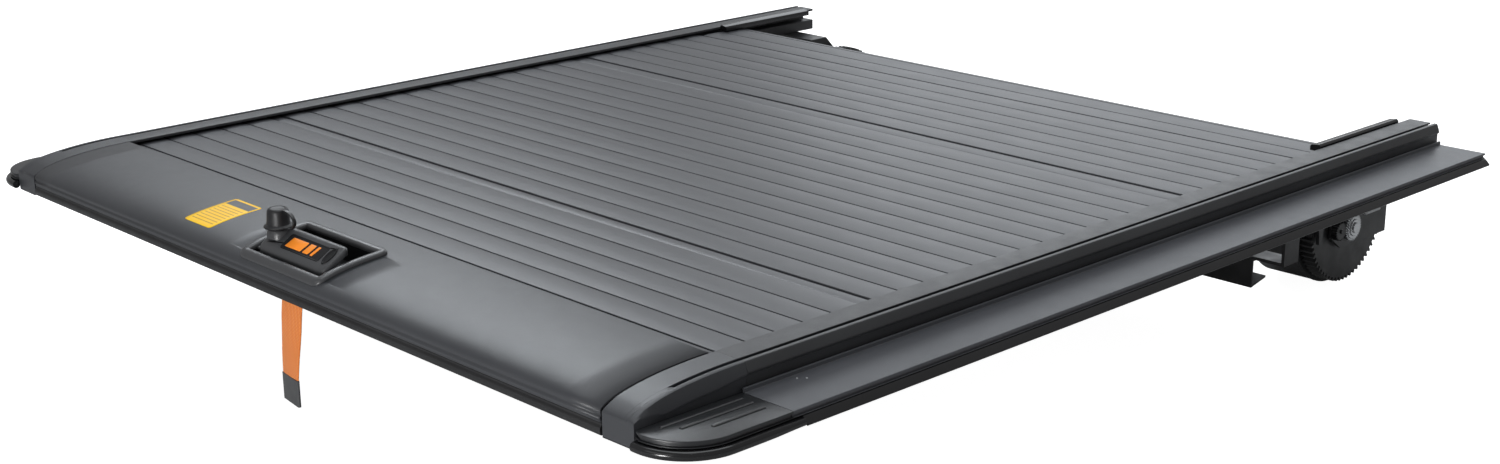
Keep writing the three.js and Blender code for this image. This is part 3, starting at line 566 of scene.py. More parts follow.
def ring_of(points, insets, heights):
    """Rings stacked from one outline: each ring is the outline moved inwards along its own normals
    by an inset, at a height."""
    points = np.asarray(points, float)
    ahead, behind = np.roll(points, -1, 0) - points, points - np.roll(points, 1, 0)
    along = ahead / np.linalg.norm(ahead, axis=1)[:, None] + behind / np.linalg.norm(behind, axis=1)[:, None]
    along /= np.linalg.norm(along, axis=1)[:, None]
    inward = np.stack([-along[:, 1], along[:, 0]], 1)
    rings = points[None] + inward[None] * np.asarray(insets, float)[:, None, None]
    z = np.broadcast_to(np.asarray(heights, float)[:, None, None], rings.shape[:2] + (1,))
    return np.concatenate([rings, z], 2)


def raised(points, insets, heights):
    """A closed solid from stacked rings, with flat caps."""
    return stacked(ring_of(points, insets, heights))


def corner_parts():
    """The corner plate with its softened edge, and its ribs, as one list of points and faces."""
    x0, x1, y1 = corner_lo[0], corner_hi[0], corner_hi[1]
    angle = np.linspace(-np.pi / 2, 0, 20)
    bend = np.stack([x1 - CORNER_R * (1 - np.cos(angle)), corner_lo[1] + CORNER_R * (1 + np.sin(angle))], 1)
    outline = np.concatenate([[[x0, corner_lo[1] + 4 * MM]], bend, [[x1, y1], [x0, y1]]])
    edge = np.array([0, 0, 2.6, 2.6, 0, 0, 0.15, 0.5, 1.0]) * MM
    plate = raised(outline, edge, np.array([0, 1.0, 1.4, 4.9, 5.3, 7.0, 7.5, 7.85, 8.0]) * MM)
    parts = [plate]
    half = 3 * MM
    for share in RIB_SHARES:
        x = x0 + share * (x1 - x0)
        start = corner_lo[1] + 2 * MM + y1 * (0.13 + 0.75 * share * share)
        rib = box_loop(x - half, x + half, start, y1 - 12 * MM, half, 6)
        parts.append(raised(rib, np.array([0, 0.3, 1.1, 2.0]) * MM, np.array([7.6, 8.7, 9.4, 9.6]) * MM))
    return together(parts)


corner = corner_parts()
both_sides("ledge_corner_*_skin", corner, corner_coat, "rails", "moulded_black", "ledge_corner_*")
print("corner faces", len(corner[1]))

# %% [markdown]
# ## The rubber lips
# A flared lip runs along the ledge's straight edge, and a round bulb goes round the corner and
# thins where the lip takes over. At every station the section turns to stay square to the edge.

# %% Rubber lips
def edge_path():
    """Points on the corner's outer edge and their outward normals, from its inner end and round
    the bend."""
    angle = np.linspace(-np.pi / 2, 0, 24)
    normal = np.stack([np.cos(angle), np.sin(angle)], 1)
    centre = np.array([LEDGE_OUT - CORNER_R, corner_lo[1] + CORNER_R])
    bend = centre + normal * (CORNER_R - MM)
    first = [[corner_lo[0] + 3 * MM, bend[0, 1]]]
    return np.concatenate([first, bend]), np.concatenate([[[0, -1]], normal])


def carried(loops, points, normals):
    """One loop of (out, up) points, or one for each station, carried along the edge: a point goes
    to station + out * normal, with up as Z."""
    loops = np.broadcast_to(loops, (len(points), *np.shape(loops)[-2:]))
    flat = points[:, None, :] + normals[:, None, :] * loops[..., :1]
    return stacked(np.concatenate([flat, loops[..., 1:]], 2))


LIP = np.array([(-6, -0.3), (1.9, -0.3), (4.6, -2.6), (9.0, -7.0), (9.6, -8.8), (8.6, -9.8),
                (6.8, -9.0), (3.0, -5.0), (-0.6, -3.2), (-6, -3.2)]) * MM
BULB_END = corner_hi[1] + 12 * MM
THIN_FROM = 110 * MM


def bulb_loop(size, out):
    """A tucked-in tongue and a round bulb: a circle of radius `size`, centred `out` past the edge."""
    angle = np.linspace(np.pi * 0.62, -np.pi * 1.02, 18)
    round_part = np.stack([out + size * np.cos(angle), -1.2 * MM - size + size * np.sin(angle)], 1)
    return np.concatenate([[[-6 * MM, -0.3 * MM]], round_part, [[-6 * MM, -3.2 * MM]]])


def corner_bulb():
    """The bulb round the corner: its section is full there and thins at its cab end."""
    points, normals = edge_path()
    run = np.linspace(points[-1, 1], BULB_END, 8)[1:]
    points = np.concatenate([points, np.stack([np.full(len(run), points[-1, 0]), run], 1)])
    normals = np.concatenate([normals, np.tile([1.0, 0.0], (len(run), 1))])
    share = smooth_step(points[:, 1], THIN_FROM, BULB_END)
    rings = np.stack([bulb_loop(5.6 * MM - 1.3 * MM * s, 2.6 * MM + 2.4 * MM * s) for s in share])
    return carried(rings, points, normals)


straight = np.array([[LEDGE_OUT - MM, BULB_END + 1 * MM], [LEDGE_OUT - MM, ledge_hi[1]]])
lip = carried(rounded(LIP, 1.1 * MM), straight, np.array([[1, 0], [1, 0]]))
bulb = corner_bulb()
for side in SIDES:
    on_side(side, "ledge_seal_*_skin", lip, rubber, "rails", "black_rubber", "ledge_seal_*", angle=50.0)
    on_side(side, "corner_bulb_*", bulb, rubber, "rails", "black_rubber", angle=50.0)
print("bulb ends at y", round(float(BULB_END), 4))

# %% [markdown]
# ## The end bar
# The end bar's skin is a quarter ellipse from the nose up to the flat top. Under the nose there is
# a small bead with a groove above it. The skin is one sheet, with the faces under the handle's
# frame left out, and Solidify gives it the wall of the extrusion.

# %% End bar
bar_lo, bar_hi = cad_corners("end_bar")
BAR_DEPTH = 151 * MM
NOSE = 13 * MM
bezel_lo, bezel_hi = cad_corners("handle_bezel")


def bar_point(angle, off=0.0):
    """(y, z) on the bar's curve at an angle from the nose: y = D - (D + off) cos a and
    z = N + (H + off) sin a, where D is the depth, N the nose's height and H the rise."""
    rise = RAIL_TOP - NOSE
    return BAR_DEPTH - (BAR_DEPTH + off) * np.cos(angle), NOSE + (rise + off) * np.sin(angle)


def bar_height(y):
    """Height of the bar's curve above the bed rails at a place along Y."""
    share = 1 - np.clip(np.asarray(y, float) / BAR_DEPTH, 0, 1)
    return NOSE + (RAIL_TOP - NOSE) * np.sqrt(np.clip(1 - share ** 2, 0, 1))


def bar_skin():
    """The skin's sheet: its side profile at a row of places across the truck."""
    curve = np.stack(bar_point(np.linspace(0, np.pi / 2, 60)), 1)
    rear, step, under = bar_hi[1], 31 * MM, bar_hi[2] - 18.4 * MM
    nose = np.array([(12, 1), (0.8, 1), (0.2, 1.6), (0.2, 4.2), (-0.9, 4.8), (-1.1, 6.2), (-0.4, 7.6),
                     (0.5, 8.2), (0.9, 9.4), (0.5, 10.6)]) * MM
    back = np.array([
        (BAR_DEPTH + 0.4 * MM, step + 5 * MM), (BAR_DEPTH + 0.4 * MM, step + 0.6 * MM),
        (BAR_DEPTH + 1.2 * MM, step), (rear - 3.2 * MM, step), (rear - 2.6 * MM, step - 1.6 * MM),
        (rear, step - 2.0 * MM), (rear, under), (BAR_DEPTH - 3 * MM, under),
    ])
    profile = np.concatenate([nose, curve, back])
    inset = 11 * MM
    x0, x1 = bezel_lo[0] + inset, bezel_hi[0] - inset
    left, right = bar_lo[0] + 1 * MM, bar_hi[0] - 1 * MM
    x = np.concatenate([np.linspace(left, x0, 12), np.linspace(x0, x1, 4)[1:],
                        np.linspace(x1, right, 10)[1:]])
    verts = np.empty((len(x), len(profile), 3))
    verts[..., 0] = x[:, None]
    verts[..., 1:] = profile[None]
    middles_x = (x[:-1] + x[1:]) / 2
    middles_y = (profile[:-1, 0] + profile[1:, 0]) / 2
    on_top = (profile[:-1, 1] > NOSE) & (middles_y > bezel_lo[1] + inset) & (middles_y < bezel_hi[1] - inset)
    opening = ((middles_x > x0) & (middles_x < x1))[:, None] & on_top[None]
    faces = grid_faces(len(x), len(profile)).reshape(len(x) - 1, len(profile) - 1, 4)
    return verts.reshape(-1, 3), faces[~opening][:, ::-1].tolist()


skin = make("end_bar_skin", *bar_skin(), powder, 40.0, tidy=False)
wall = skin.modifiers.new("wall", "SOLIDIFY")
wall.thickness = 2.0 * MM
wall.offset = -1.0
finish_piece(skin, "end_bar", "powder_coat", "end_bar")
print("bar depth", BAR_DEPTH, "rise", round(float(RAIL_TOP - NOSE), 4))

# %% [markdown]
# Black end plates close the bar's section a little below its skin, next to the rail caps. They are
# one extrusion of the bar's own curve, drawn in by the wall. Their near-black finish is partly
# painted shade, so the gap beside the cap stays dark.

# %% Bar end plates with painted shade
curve = np.stack(bar_point(np.linspace(0.2, np.pi / 2, 24), -1.6 * MM), 1)
end_loop = np.concatenate([curve, [[BAR_DEPTH, 4 * MM], [curve[0, 0], 4 * MM]]])
end_plate_shade = extrusion([end_loop], "x", [bar_hi[0] - 8 * MM, bar_hi[0] + 0.5 * MM])
# Near-black plates in the gap beside the rail caps: end plates, and painted shade as well.
both_sides("bar_end_*", end_plate_shade, pan_black, "end_bar", "moulded_black")
print("bar ends reach x", round(float(end_plate_shade[0][:, 0].max()), 4))

# %% [markdown]
# The rubber under the nose closes on the tailgate. It has a rounded lip with a groove above, one
# section all the way across, so it is an extrusion too.

# %% End bar seal
SEAL = np.array([(1, 0.7), (1, -2.2), (-1.2, -4.2), (-1.5, -8), (-0.6, -12.4), (1.4, -13), (3.6, -12.2),
                 (4, -4.4), (12, -4.2), (12, 0.7)]) * MM
piece = extruded("end_bar_lip", [rounded(SEAL, 1.0 * MM)], "x", [bar_lo[0], bar_hi[0]], soft_rubber)
finish_piece(piece, "end_bar", "black_rubber", "end_bar_seal")
print("seal hangs down to", round(float(SEAL[:, 1].min()), 4))

# %% [markdown]
# ## The rail caps
# A cap carries the rail's outside down over the nose. It is a grid: along Y the crest follows the
# end bar's curve, and across X it has the flange, the T-slot's groove, the facet and the wall. The
# groove fades out and the facet narrows towards the nose.

# %% Rail caps
cap_lo, cap_hi = cad_corners("rail_cap_right")
CAP_FRONT = 15 * MM


def cap_shell():
    """Points (t, s): t runs along the crest from under the nose to the rail, s across the cap. A
    column's height is the crest less its own drop, and the groove's drop fades in with `depth`."""
    angle = np.concatenate([np.linspace(0, 0.5, 14), np.linspace(0.5, np.pi / 2, 24)[1:]])
    y, crest = bar_point(angle)
    front = 20 * MM
    rise = (bar_height(front) - CAP_FRONT) * np.clip(y / front, 0, 1) ** 0.75
    crest = np.where(y < front, CAP_FRONT + rise, crest)
    y = np.concatenate([[0, 0, 0], y, [cap_hi[1]]])
    crest = np.concatenate([[cap_lo[2], 2 * MM, 9 * MM], crest, [RAIL_TOP]])
    depth = 7 * MM * smooth_step(y, 60 * MM, 78 * MM)
    facet = 15 * MM * smooth_step(y, -4 * MM, 50 * MM) - 4 * MM * smooth_step(y, 110 * MM, cap_hi[1])
    run = 2.5 * MM + 2 * MM * smooth_step(y, 0, 60 * MM)
    inner, lip = cap_lo[0], 0.6 * MM
    x_of = [inner, inner + lip, SLOT_IN - 0.3 * MM, SLOT_IN, SLOT_IN, SLOT_OUT, SLOT_OUT, SLOT_OUT + 0.3 * MM]
    drop = [lip, 0, 0, 0.3 * MM, 1, 1, 0.3 * MM, 0]
    columns = []
    for x, down in zip(x_of, drop):
        fall = depth if down == 1 else np.full_like(y, down)
        columns.append(np.stack([np.full_like(y, x), y, crest - fall], 1))
    edge = RAIL_OUT - run
    columns.append(np.stack([edge - 0.8 * MM, y, crest], 1))
    columns.append(np.stack([edge + 0.3 * MM, y, crest - 0.7 * MM], 1))
    low = np.maximum(crest - facet - 0.7 * MM, cap_lo[2] + 1 * MM)
    columns.append(np.stack([np.full_like(y, RAIL_OUT) - 0.2 * MM, y, low], 1))
    foot = np.where(y < 14 * MM, cap_lo[2], 0.0)
    under = RAIL_OUT - UNDERCUT * smooth_step(y, 16 * MM, 60 * MM)
    base = np.minimum(foot, low)
    columns.append(np.stack([np.full_like(y, RAIL_OUT), y, np.maximum(low - 2 * MM, base)], 1))
    columns.append(np.stack([under, y, np.maximum(low - 4 * MM, base)], 1))
    columns.append(np.stack([under, y, base], 1))
    columns.append(np.stack([np.full_like(y, inner), y, np.minimum(foot, crest - 1 * MM)], 1))
    return stacked(np.stack(columns, 1))


cap = cap_shell()
both_sides("rail_cap_*_skin", cap, powder, "rails", "moulded_black", "rail_cap_*", angle=35.0)
print("cap points", len(cap[0]))

# %% [markdown]
# ## The curtain
# Every slat is its own piece. Its top is slightly crowned, its front edge drops into the groove
# over the hook of the slat before, and its ends run in the rails. The real slats wind down at the
# cab, and a tree of rigid bodies can't roll a curtain up.

# %% Slats
tail_lo, tail_hi = cad_corners("curtain_tail")
GROOVE = 2.3 * MM


def slat_loop(y0, y1, top, bottom, crown):
    """One slat's side profile: crown * (1 - (2 s - 1)^2) above its shoulders, for s across the slat,
    with a groove at its tailgate edge."""
    s = np.linspace(0, 1, 9)
    face = np.stack([y0 + GROOVE + s * (y1 - y0 - GROOVE - 0.3 * MM), top - crown * (2 * s - 1) ** 2], 1)
    shoulder = [(y0 + GROOVE - 0.5 * MM, top - crown - 0.9 * MM),
                (y0 + GROOVE - 0.3 * MM, top - crown - 0.3 * MM)]
    tongue = [(y0, bottom), (y0, top - 4.5 * MM), (y0 + GROOVE - 0.5 * MM, top - 4.5 * MM)]
    rear = [(y1, top - crown - 0.5 * MM), (y1, bottom)]
    foot = [(y1 - 3 * MM, bottom), (y1 - 3.4 * MM, bottom + 1.2 * MM),
            (y0 + 3.4 * MM, bottom + 1.2 * MM), (y0 + 3 * MM, bottom)]
    return np.concatenate([tongue, shoulder, face, rear, foot])


def slat_names():
    """The flat run's nodes in order of place, from the tailgate to the cab."""
    names = [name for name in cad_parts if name.startswith(("slat_", "joint_strip_"))]
    return sorted(names, key=lambda name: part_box(name)[0][1])


flat_run = slat_names()
SQUASH_END = tail_lo[1]
for name in flat_run:
    lo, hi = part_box(name)
    low = 1.6 * MM if name.startswith("joint") else 0.0
    loop = slat_loop(lo[1], hi[1], hi[2] - low, lo[2], 0.9 * MM)
    places = np.linspace(lo[0], hi[0], 5)
    piece = extruded(f"{name}_skin", [loop], "x", places, slat_coat, smooth_angle=40.0)
    finish_piece(piece, "rails", "slat_coat", name)
    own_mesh(piece)

# %% [markdown]
# The last slats turn down towards the drum. They use the same profile, bent: a point `s` along the
# curtain and `h` above its underside goes to the flat run, the quarter circle, or the straight
# drop, wherever that length falls.

# %% Tail slats
SLAT_THICK = tail_hi[2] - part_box("slat_01")[0][2]
DIVE_R = 55 * MM
FLAT_TAIL = tail_hi[1] - DIVE_R - tail_lo[1]


def bent(points):
    """Carries (s, h) to (y, z): flat, then on a circle of radius R - T + h, then straight down."""
    s, h = points[:, 0], points[:, 1]
    r = DIVE_R - SLAT_THICK + h
    turned = np.clip((s - FLAT_TAIL) / (DIVE_R - SLAT_THICK / 2), 0, np.pi / 2)
    below = np.maximum(s - FLAT_TAIL - (DIVE_R - SLAT_THICK / 2) * np.pi / 2, 0)
    ahead = np.minimum(s, FLAT_TAIL)
    y = SQUASH_END + ahead + r * np.sin(turned)
    z = tail_hi[2] - DIVE_R + r * np.cos(turned) - below
    return np.stack([y, z], 1)


def dense(loop, step=2.5 * MM):
    """The loop with extra points, so that no side is longer than `step`."""
    out = []
    for a, b in zip(loop, np.roll(loop, -1, 0)):
        count = max(1, int(np.ceil(np.linalg.norm(b - a) / step)))
        out.append(a + (b - a) * (np.arange(count) / count)[:, None])
    return np.concatenate(out)


arc_length = (DIVE_R - SLAT_THICK / 2) * np.pi / 2
bent_length = arc_length + (tail_hi[2] - DIVE_R - tail_lo[2])
FLAT_SLATS, BENT_SLATS = 2, 3
widths = [FLAT_TAIL / FLAT_SLATS] * FLAT_SLATS + [bent_length / BENT_SLATS] * BENT_SLATS
tail_parts, start = [], 0.0
for width in widths:
    loop = bent(dense(slat_loop(start + 0.2 * MM, start + width - 0.2 * MM, SLAT_THICK, 0.0, 0.55 * MM)))
    tail_parts.append(extrusion([loop], "x", np.linspace(tail_lo[0], tail_hi[0], 5)))
    start += width
piece = make("tail_slats", *together(tail_parts), slat_coat, 40.0)
finish_piece(piece, "rails", "slat_coat", "curtain_tail")
print("tail slats", len(widths), "along", round(float(start), 4))

# %% [markdown]
# ## The handle's frame
# The frame is a soft moulded rim round a rounded rectangle, set in the bar over a black pan. Each
# ring of points is the outline moved in by some distance. The rim's rings lie a little off the
# bar's curve, which a bevelled box would not follow, and the pan's rings drop to a flat floor.

# %% Handle frame
PAN_FLOOR = RAIL_TOP - 26 * MM


def plan_loop(x0, x1, y0, y1, radius, steps=10):
    """A rounded rectangle in plan with extra points along its sides, so that it can follow a curve."""
    return dense(box_loop(x0, x1, y0, y1, radius, steps), 5 * MM)


frame_outline = plan_loop(bezel_lo[0], bezel_hi[0], bezel_lo[1], bezel_hi[1], 14 * MM)


def handle_rim():
    """Rings of (inset, height off the bar's curve): out of the bar, over a full round, and back in."""
    rim = np.array([(1.2, -0.5), (0.2, 0.2), (0, 1.4), (0.4, 3.4), (1.5, 5.0), (3.4, 5.9), (5.6, 6.0),
                    (8.6, 5.7), (10.8, 5.0), (12.2, 3.6), (12.9, 1.4), (13, -1.0), (11.8, -3.0)]) * MM
    rings = ring_of(frame_outline, rim[:, 0], rim[:, 1])
    rings[..., 2] += bar_height(rings[..., 1])
    return stacked(rings, False, False)


def handle_pan():
    """The pan's wall and floor, a closed cup with a 1.6 mm wall, open at the top. Its two top rings
    stay 1 mm under the bar's curve."""
    top, deep = RAIL_TOP - 2 * MM, PAN_FLOOR
    rings = ring_of(frame_outline, np.array([11.4, 11.4, 13, 13, 13.6, 16]) * MM,
                    [top, deep - 1.6 * MM, top, deep + 3 * MM, deep + 0.8 * MM, deep])
    rings[[0, 2], :, 2] = np.minimum(rings[[0, 2], :, 2], bar_height(rings[[0, 2], :, 1]) - 1 * MM)
    return stacked(rings[[1, 0, 2, 3, 4, 5]])


rim_piece = make("handle_rim", *handle_rim(), satin_moulded, 40.0)
rim_wall = rim_piece.modifiers.new("wall", "SOLIDIFY")
rim_wall.thickness = 1.2 * MM
rim_wall.offset = -1.0
finish_piece(rim_piece, "end_bar", "moulded_black", "handle_bezel")
finish_piece(make("handle_pan", *handle_pan(), pan_black, 35.0), "end_bar", "moulded_black")
print("frame outline points", len(frame_outline))

# %% [markdown]
# ## The paddle
# The paddle is a soft-edged moulded slab whose face climbs to a ridge. Its height over the plan is
# worked out on the same kind of rings as the frame's, so its edge has one even radius all round. A
# level boss, spun about the lock's axis, carries the lock.

# %% Paddle
paddle_lo, paddle_hi = cad_corners("handle_paddle")
lock_lo, lock_hi = cad_corners("lock_barrel")
lock_at = (lock_lo + lock_hi) / 2
RIDGE = paddle_hi[2]
FALL = 20 * MM
SLOPE_FROM, SLOPE_TO = paddle_lo[1] + 4 * MM, paddle_hi[1] - 7 * MM


def paddle_top(y):
    """Height of the paddle's face: a straight slope up to the ridge, and a round fall behind it."""
    share = np.clip((y - SLOPE_FROM) / (SLOPE_TO - SLOPE_FROM), -0.1, 1)
    behind = np.clip((y - SLOPE_TO) / (paddle_hi[1] - SLOPE_TO), 0, 1)
    return RIDGE - FALL * (1 - share) - 1.6 * MM * behind ** 2


def paddle_body():
    """Rings from the underside, round the soft edge, to the sloping face."""
    outline = plan_loop(paddle_lo[0], paddle_hi[0], paddle_lo[1], paddle_hi[1], 12 * MM)
    insets = np.array([3.0, 0.8, 0, 0, 0.3, 1.2, 2.6, 4.2, 7, 10, 11.4]) * MM
    drops = np.array([11, 10.4, 9, 4.4, 2.4, 1.0, 0.25, 0, 0, 0, 0]) * MM
    rings = ring_of(outline, insets, np.zeros(len(insets)))
    rings[..., 2] = paddle_top(rings[..., 1]) - drops[:, None]
    rings[..., 2] = np.maximum(rings[..., 2], paddle_lo[2])
    return stacked(rings)


def on_paddle(outline, insets, offs):
    """Stacked rings that ride on the paddle's face: height = top(y) + off."""
    rings = ring_of(outline, insets, np.zeros(len(insets)))
    rings[..., 2] = paddle_top(rings[..., 1]) + np.asarray(offs)[:, None]
    return stacked(rings)


def spun(profile, centre, count=48):
    """Points (r, z) spun about a vertical axis: x = cx + r cos a, y = cy + r sin a."""
    profile = np.asarray(profile, float)
    angle = np.linspace(0, 2 * np.pi, count, endpoint=False)
    r, z = profile[:, :1], profile[:, 1:]
    x, y = centre[0] + r * np.cos(angle), centre[1] + r * np.sin(angle)
    return stacked(np.stack([x, y, z + 0 * angle], -1))


boss = [(15.8, RIDGE - 12 * MM), (15.0, RIDGE - 6 * MM), (14.2, RIDGE - 2.4 * MM), (13.2, RIDGE - 1.2 * MM),
        (11.6, RIDGE - 1 * MM), (10.6, RIDGE - 1 * MM), (10.5, RIDGE - 3 * MM)]
boss_mesh = spun([(r * MM, z) for r, z in boss], lock_at)
piece = make("paddle_body", *together([paddle_body(), boss_mesh]), satin_moulded, 38.0)
finish_piece(piece, "paddle", "moulded_black", "handle_paddle")
print("paddle ridge at", round(float(RIDGE), 4))

# %% [markdown]
# The face carries a framed inlay of three slanted orange bars and an oval finger dimple. They could
# be painted on, but their edges stand up from the face, so each is a thin piece that rides on it.

# %% Inlay and dimple
def oval(cx, cy, rx, ry, count=36):
    """An ellipse in plan: (cx + rx cos a, cy + ry sin a)."""
    angle = np.linspace(0, 2 * np.pi, count, endpoint=False)
    return np.stack([cx + rx * np.cos(angle), cy + ry * np.sin(angle)], 1)


INLAY_Y = (paddle_lo[1] + 9 * MM, paddle_hi[1] - 13 * MM)
INLAY_X = (paddle_lo[0] + 40 * MM, paddle_hi[0] - 24 * MM)
plate = plan_loop(*INLAY_X, *INLAY_Y, 4 * MM, 6)
frame_insets = np.array([0, 0.2, 0.7, 1.2, 1.6, 2.2]) * MM
frame_offs = np.array([-0.2, 0.55, 0.7, 0.5, 0.15, 0.1]) * MM
piece = make("paddle_inlay_plate", *on_paddle(plate, frame_insets, frame_offs), pan_black)
finish_piece(piece, "paddle", "moulded_black")


def slanted_bar(x, width, lean):
    """A parallelogram in plan across the inlay: its cab side is moved along X by `lean`."""
    y0, y1 = INLAY_Y[0] + 4 * MM, INLAY_Y[1] - 4 * MM
    loop = [(x, y0), (x + width, y0), (x + width + lean, y1), (x + lean, y1)]
    return dense(rounded(loop, 1 * MM, 3), 4 * MM)


BARS = ((7, 34), (46, 12), (63, 5))
bar_insets, bar_offs = np.array([0, 0, 0.3]) * MM, np.array([0.05, 0.5, 0.65]) * MM
bars = [on_paddle(slanted_bar(INLAY_X[0] + x * MM, width * MM, 3 * MM), bar_insets, bar_offs)
        for x, width in BARS]
piece = make("paddle_inlay", *together(bars), inlay)
finish_piece(piece, "paddle", "moulded_black")

dimple_at = (paddle_hi[0] - 13 * MM, paddle_lo[1] + 20 * MM)
rim_insets = np.array([0, 0.3, 0.9, 1.5, 2.1, 3.0, 3.8]) * MM
rim_offs = np.array([-0.15, 1.25, 1.55, 1.25, 0.45, 0.2, 0.15]) * MM
dimple = on_paddle(oval(*dimple_at, 7 * MM, 11.5 * MM), rim_insets, rim_offs)
finish_piece(make("paddle_dimple", *dimple, pan_black), "paddle", "moulded_black")
print("inlay bars", len(bars))

# %% [markdown]
# ## The lock and its dust cap
# The barrel and the cap are turned shapes: a radius for each height, spun round the lock's axis. A
# Screw modifier could spin them too, but the grid gives the same skin with no doubled points. The
# cap's tether is a flat loop that leaves the cap's top and comes back to its flange.

# %% Lock
def lock_profile():
    """The barrel's (radius, height) pairs, from its foot over a rounded edge to a sunk face."""
    z0, z1, r = lock_lo[2], lock_hi[2], (lock_hi[0] - lock_lo[0]) / 2
    return [(r - 0.6 * MM, z0), (r, z0 + 0.6 * MM), (r, z1 - 1.2 * MM), (r - 0.5 * MM, z1 - 0.3 * MM),
            (r - 1.4 * MM, z1), (r - 3.2 * MM, z1 - 0.2 * MM), (r - 3.6 * MM, z1 - 0.9 * MM),
            (2 * MM, z1 - 0.9 * MM)]


# The keyway is a near-black slab on the barrel's face: painted shade in place of the slot's depth.
keyway_shade_loop = box_loop(-0.9 * MM, 0.9 * MM, -4 * MM, 4 * MM, 0.4 * MM) + lock_at[:2]
key = raised(keyway_shade_loop, [0, 0, 0.2 * MM], lock_hi[2] - np.array([1.0, 0.7, 0.6]) * MM)
piece = make("lock_face", *spun(lock_profile(), lock_at), bright)
finish_piece(piece, "lock_barrel", "bright_steel", "lock_barrel")
finish_piece(make("lock_keyway_shade", *key, pan_black), "lock_barrel", "bright_steel")
print("barrel radius", round(float(lock_hi[0] - lock_lo[0]) / 2, 4))

# %% [markdown]
# The soft cap that keeps dust out of the lock stands on the boss. Its profile is given as shares of
# its flange's radius, against heights in millimetres.

# %% Dust cap
cap_box_lo, cap_box_hi = cad_corners("dust_cap")
cap_z = cap_box_lo[2]
CAP_FLANGE = (cap_box_hi[0] - cap_box_lo[0]) / 2 + 1 * MM
cap_centre = (cap_box_lo + cap_box_hi)[:2] / 2
CAP_PROFILE = [(0.84, 0), (0.95, 0.3), (1.0, 1.5), (0.98, 2.8), (0.90, 3.8), (0.80, 4.8), (0.775, 6.5),
               (0.755, 12), (0.735, 17), (0.715, 21.4), (0.67, 23.6), (0.60, 24.9), (0.52, 25.3),
               (0.48, 24.8), (0.44, 24.6), (0.05, 24.6)]
cap_mesh = spun([(share * CAP_FLANGE, cap_z + z * MM) for share, z in CAP_PROFILE], cap_centre)


def tether():
    """A flat band along an open ellipse in the XZ plane: x = cx + rx cos a, z = cz + rz sin a, from
    the cap's top, out along +X, and back to its flange, carried with a rounded section."""
    angle = np.linspace(np.pi * 0.58, -np.pi * 0.62, 40)
    cx, cz = cap_centre[0] + 19 * MM, cap_z + 13.2 * MM
    path = np.stack([cx + 19 * MM * np.cos(angle), cz + 11.5 * MM * np.sin(angle)], 1)
    along = np.gradient(path, axis=0)
    along /= np.linalg.norm(along, axis=1)[:, None]
    normal = np.stack([-along[:, 1], along[:, 0]], 1)
    loop = box_loop(-1.1 * MM, 1.1 * MM, -2.6 * MM, 2.6 * MM, 1.0 * MM)
    x = path[:, None, 0] + normal[:, None, 0] * loop[None, :, 0]
    z = path[:, None, 1] + normal[:, None, 1] * loop[None, :, 0]
    y = np.broadcast_to(cap_centre[1] + loop[None, :, 1], x.shape)
    return stacked(np.stack([x, y, z], -1))


piece = make("dust_cap_skin", *together([cap_mesh, tether()]), soft_rubber, 40.0)
finish_piece(piece, "dust_cap", "black_rubber", "dust_cap")
print("cap flange radius", round(float(CAP_FLANGE), 4))

# %% [markdown]
# ## The label
# A printed film stuck on the bar. It is a grid whose height is the bar's own formula plus 0.15 mm,
# so it lies on the curve without a Shrinkwrap. Solidify gives the film its thickness.

# %% Label
LABEL = (-252 * MM, -186 * MM, 26 * MM, 106 * MM)


def label_sheet():
    """A grid over the label whose columns shrink near the two ends, which rounds the corners."""
    x0, x1, y0, y1 = LABEL
    across, along = 12, 40
    s, t = np.meshgrid(np.linspace(0, 1, across), np.linspace(0, 1, along), indexing="ij")
    y = y0 + (y1 - y0) * t
    radius = 4 * MM
    gap = np.minimum(y - y0, y1 - y)
    trim = np.where(gap < radius, radius - np.sqrt(np.clip(radius ** 2 - (radius - gap) ** 2, 0, None)), 0)
    x = x0 + trim + (x1 - x0 - 2 * trim) * s
    verts = np.stack([x, y, bar_height(y) + 0.15 * MM], -1).reshape(-1, 3)
    uv = np.stack([(x - x0) / (x1 - x0), t], -1).reshape(-1, 2)
    return verts, grid_faces(across, along)[:, ::-1].tolist(), uv


verts, faces, uv = label_sheet()
label = make("blank_label", verts, faces, yellow_label, 60.0, tidy=False, uv=uv)
film = label.modifiers.new("film", "SOLIDIFY")
film.thickness = 0.12 * MM
film.offset = -1.0
finish_piece(label, "end_bar", "powder_coat")
print("label", round(LABEL[1] - LABEL[0], 3), "by", round(LABEL[3] - LABEL[2], 3))

# %% [markdown]
# ## The pull strap
# A flat webbing strap hangs from the nose of the end bar. It is limp and held at one end only, so
# it hangs almost straight, leans to one side and turns a little near its tag. A cloth simulation
# could settle it, but a smooth route through a few points gives the same strap on every run.

# %% Pull strap
# (x, y, z) in millimetres and the twist in degrees
STRAP_ROUTE = np.array([
    (31, 13.6, 9, 0), (30, 13.6, -6, 0), (26, 14.2, -22, 1), (20.5, 15.4, -40, 1), (16, 16.6, -58, 0),
    (12, 17.2, -76, -2), (9, 17, -94, -4), (7.5, 16.4, -112, -6), (6.5, 16, -128, -8),
]) * np.array([MM, MM, MM, math.pi / 180])
STRAP_HALF = 22 * MM


def finer(route, count):
    """Stations spread evenly along a smooth curve through the route's points: each span is the
    Catmull-Rom cubic of its four nearest points. The twist goes along with them."""
    p = np.concatenate([[2 * route[0] - route[1]], route, [2 * route[-1] - route[-2]]])
    t = np.linspace(0, 1, 12, endpoint=False)[:, None]
    spans = [
        0.5 * (2 * b + (c - a) * t + (2 * a - 5 * b + 4 * c - d) * t ** 2 + (3 * b - a - 3 * c + d) * t ** 3)
        for a, b, c, d in zip(p[:-3], p[1:-2], p[2:-1], p[3:])
    ]
    fine = np.concatenate(spans + [route[-1:]])
    length = np.concatenate([[0], np.cumsum(np.linalg.norm(np.diff(fine[:, :3], axis=0), axis=1))])
    at = np.linspace(0, length[-1], count)
    return np.stack([np.interp(at, length, fine[:, k]) for k in range(fine.shape[1])], 1), length[-1]


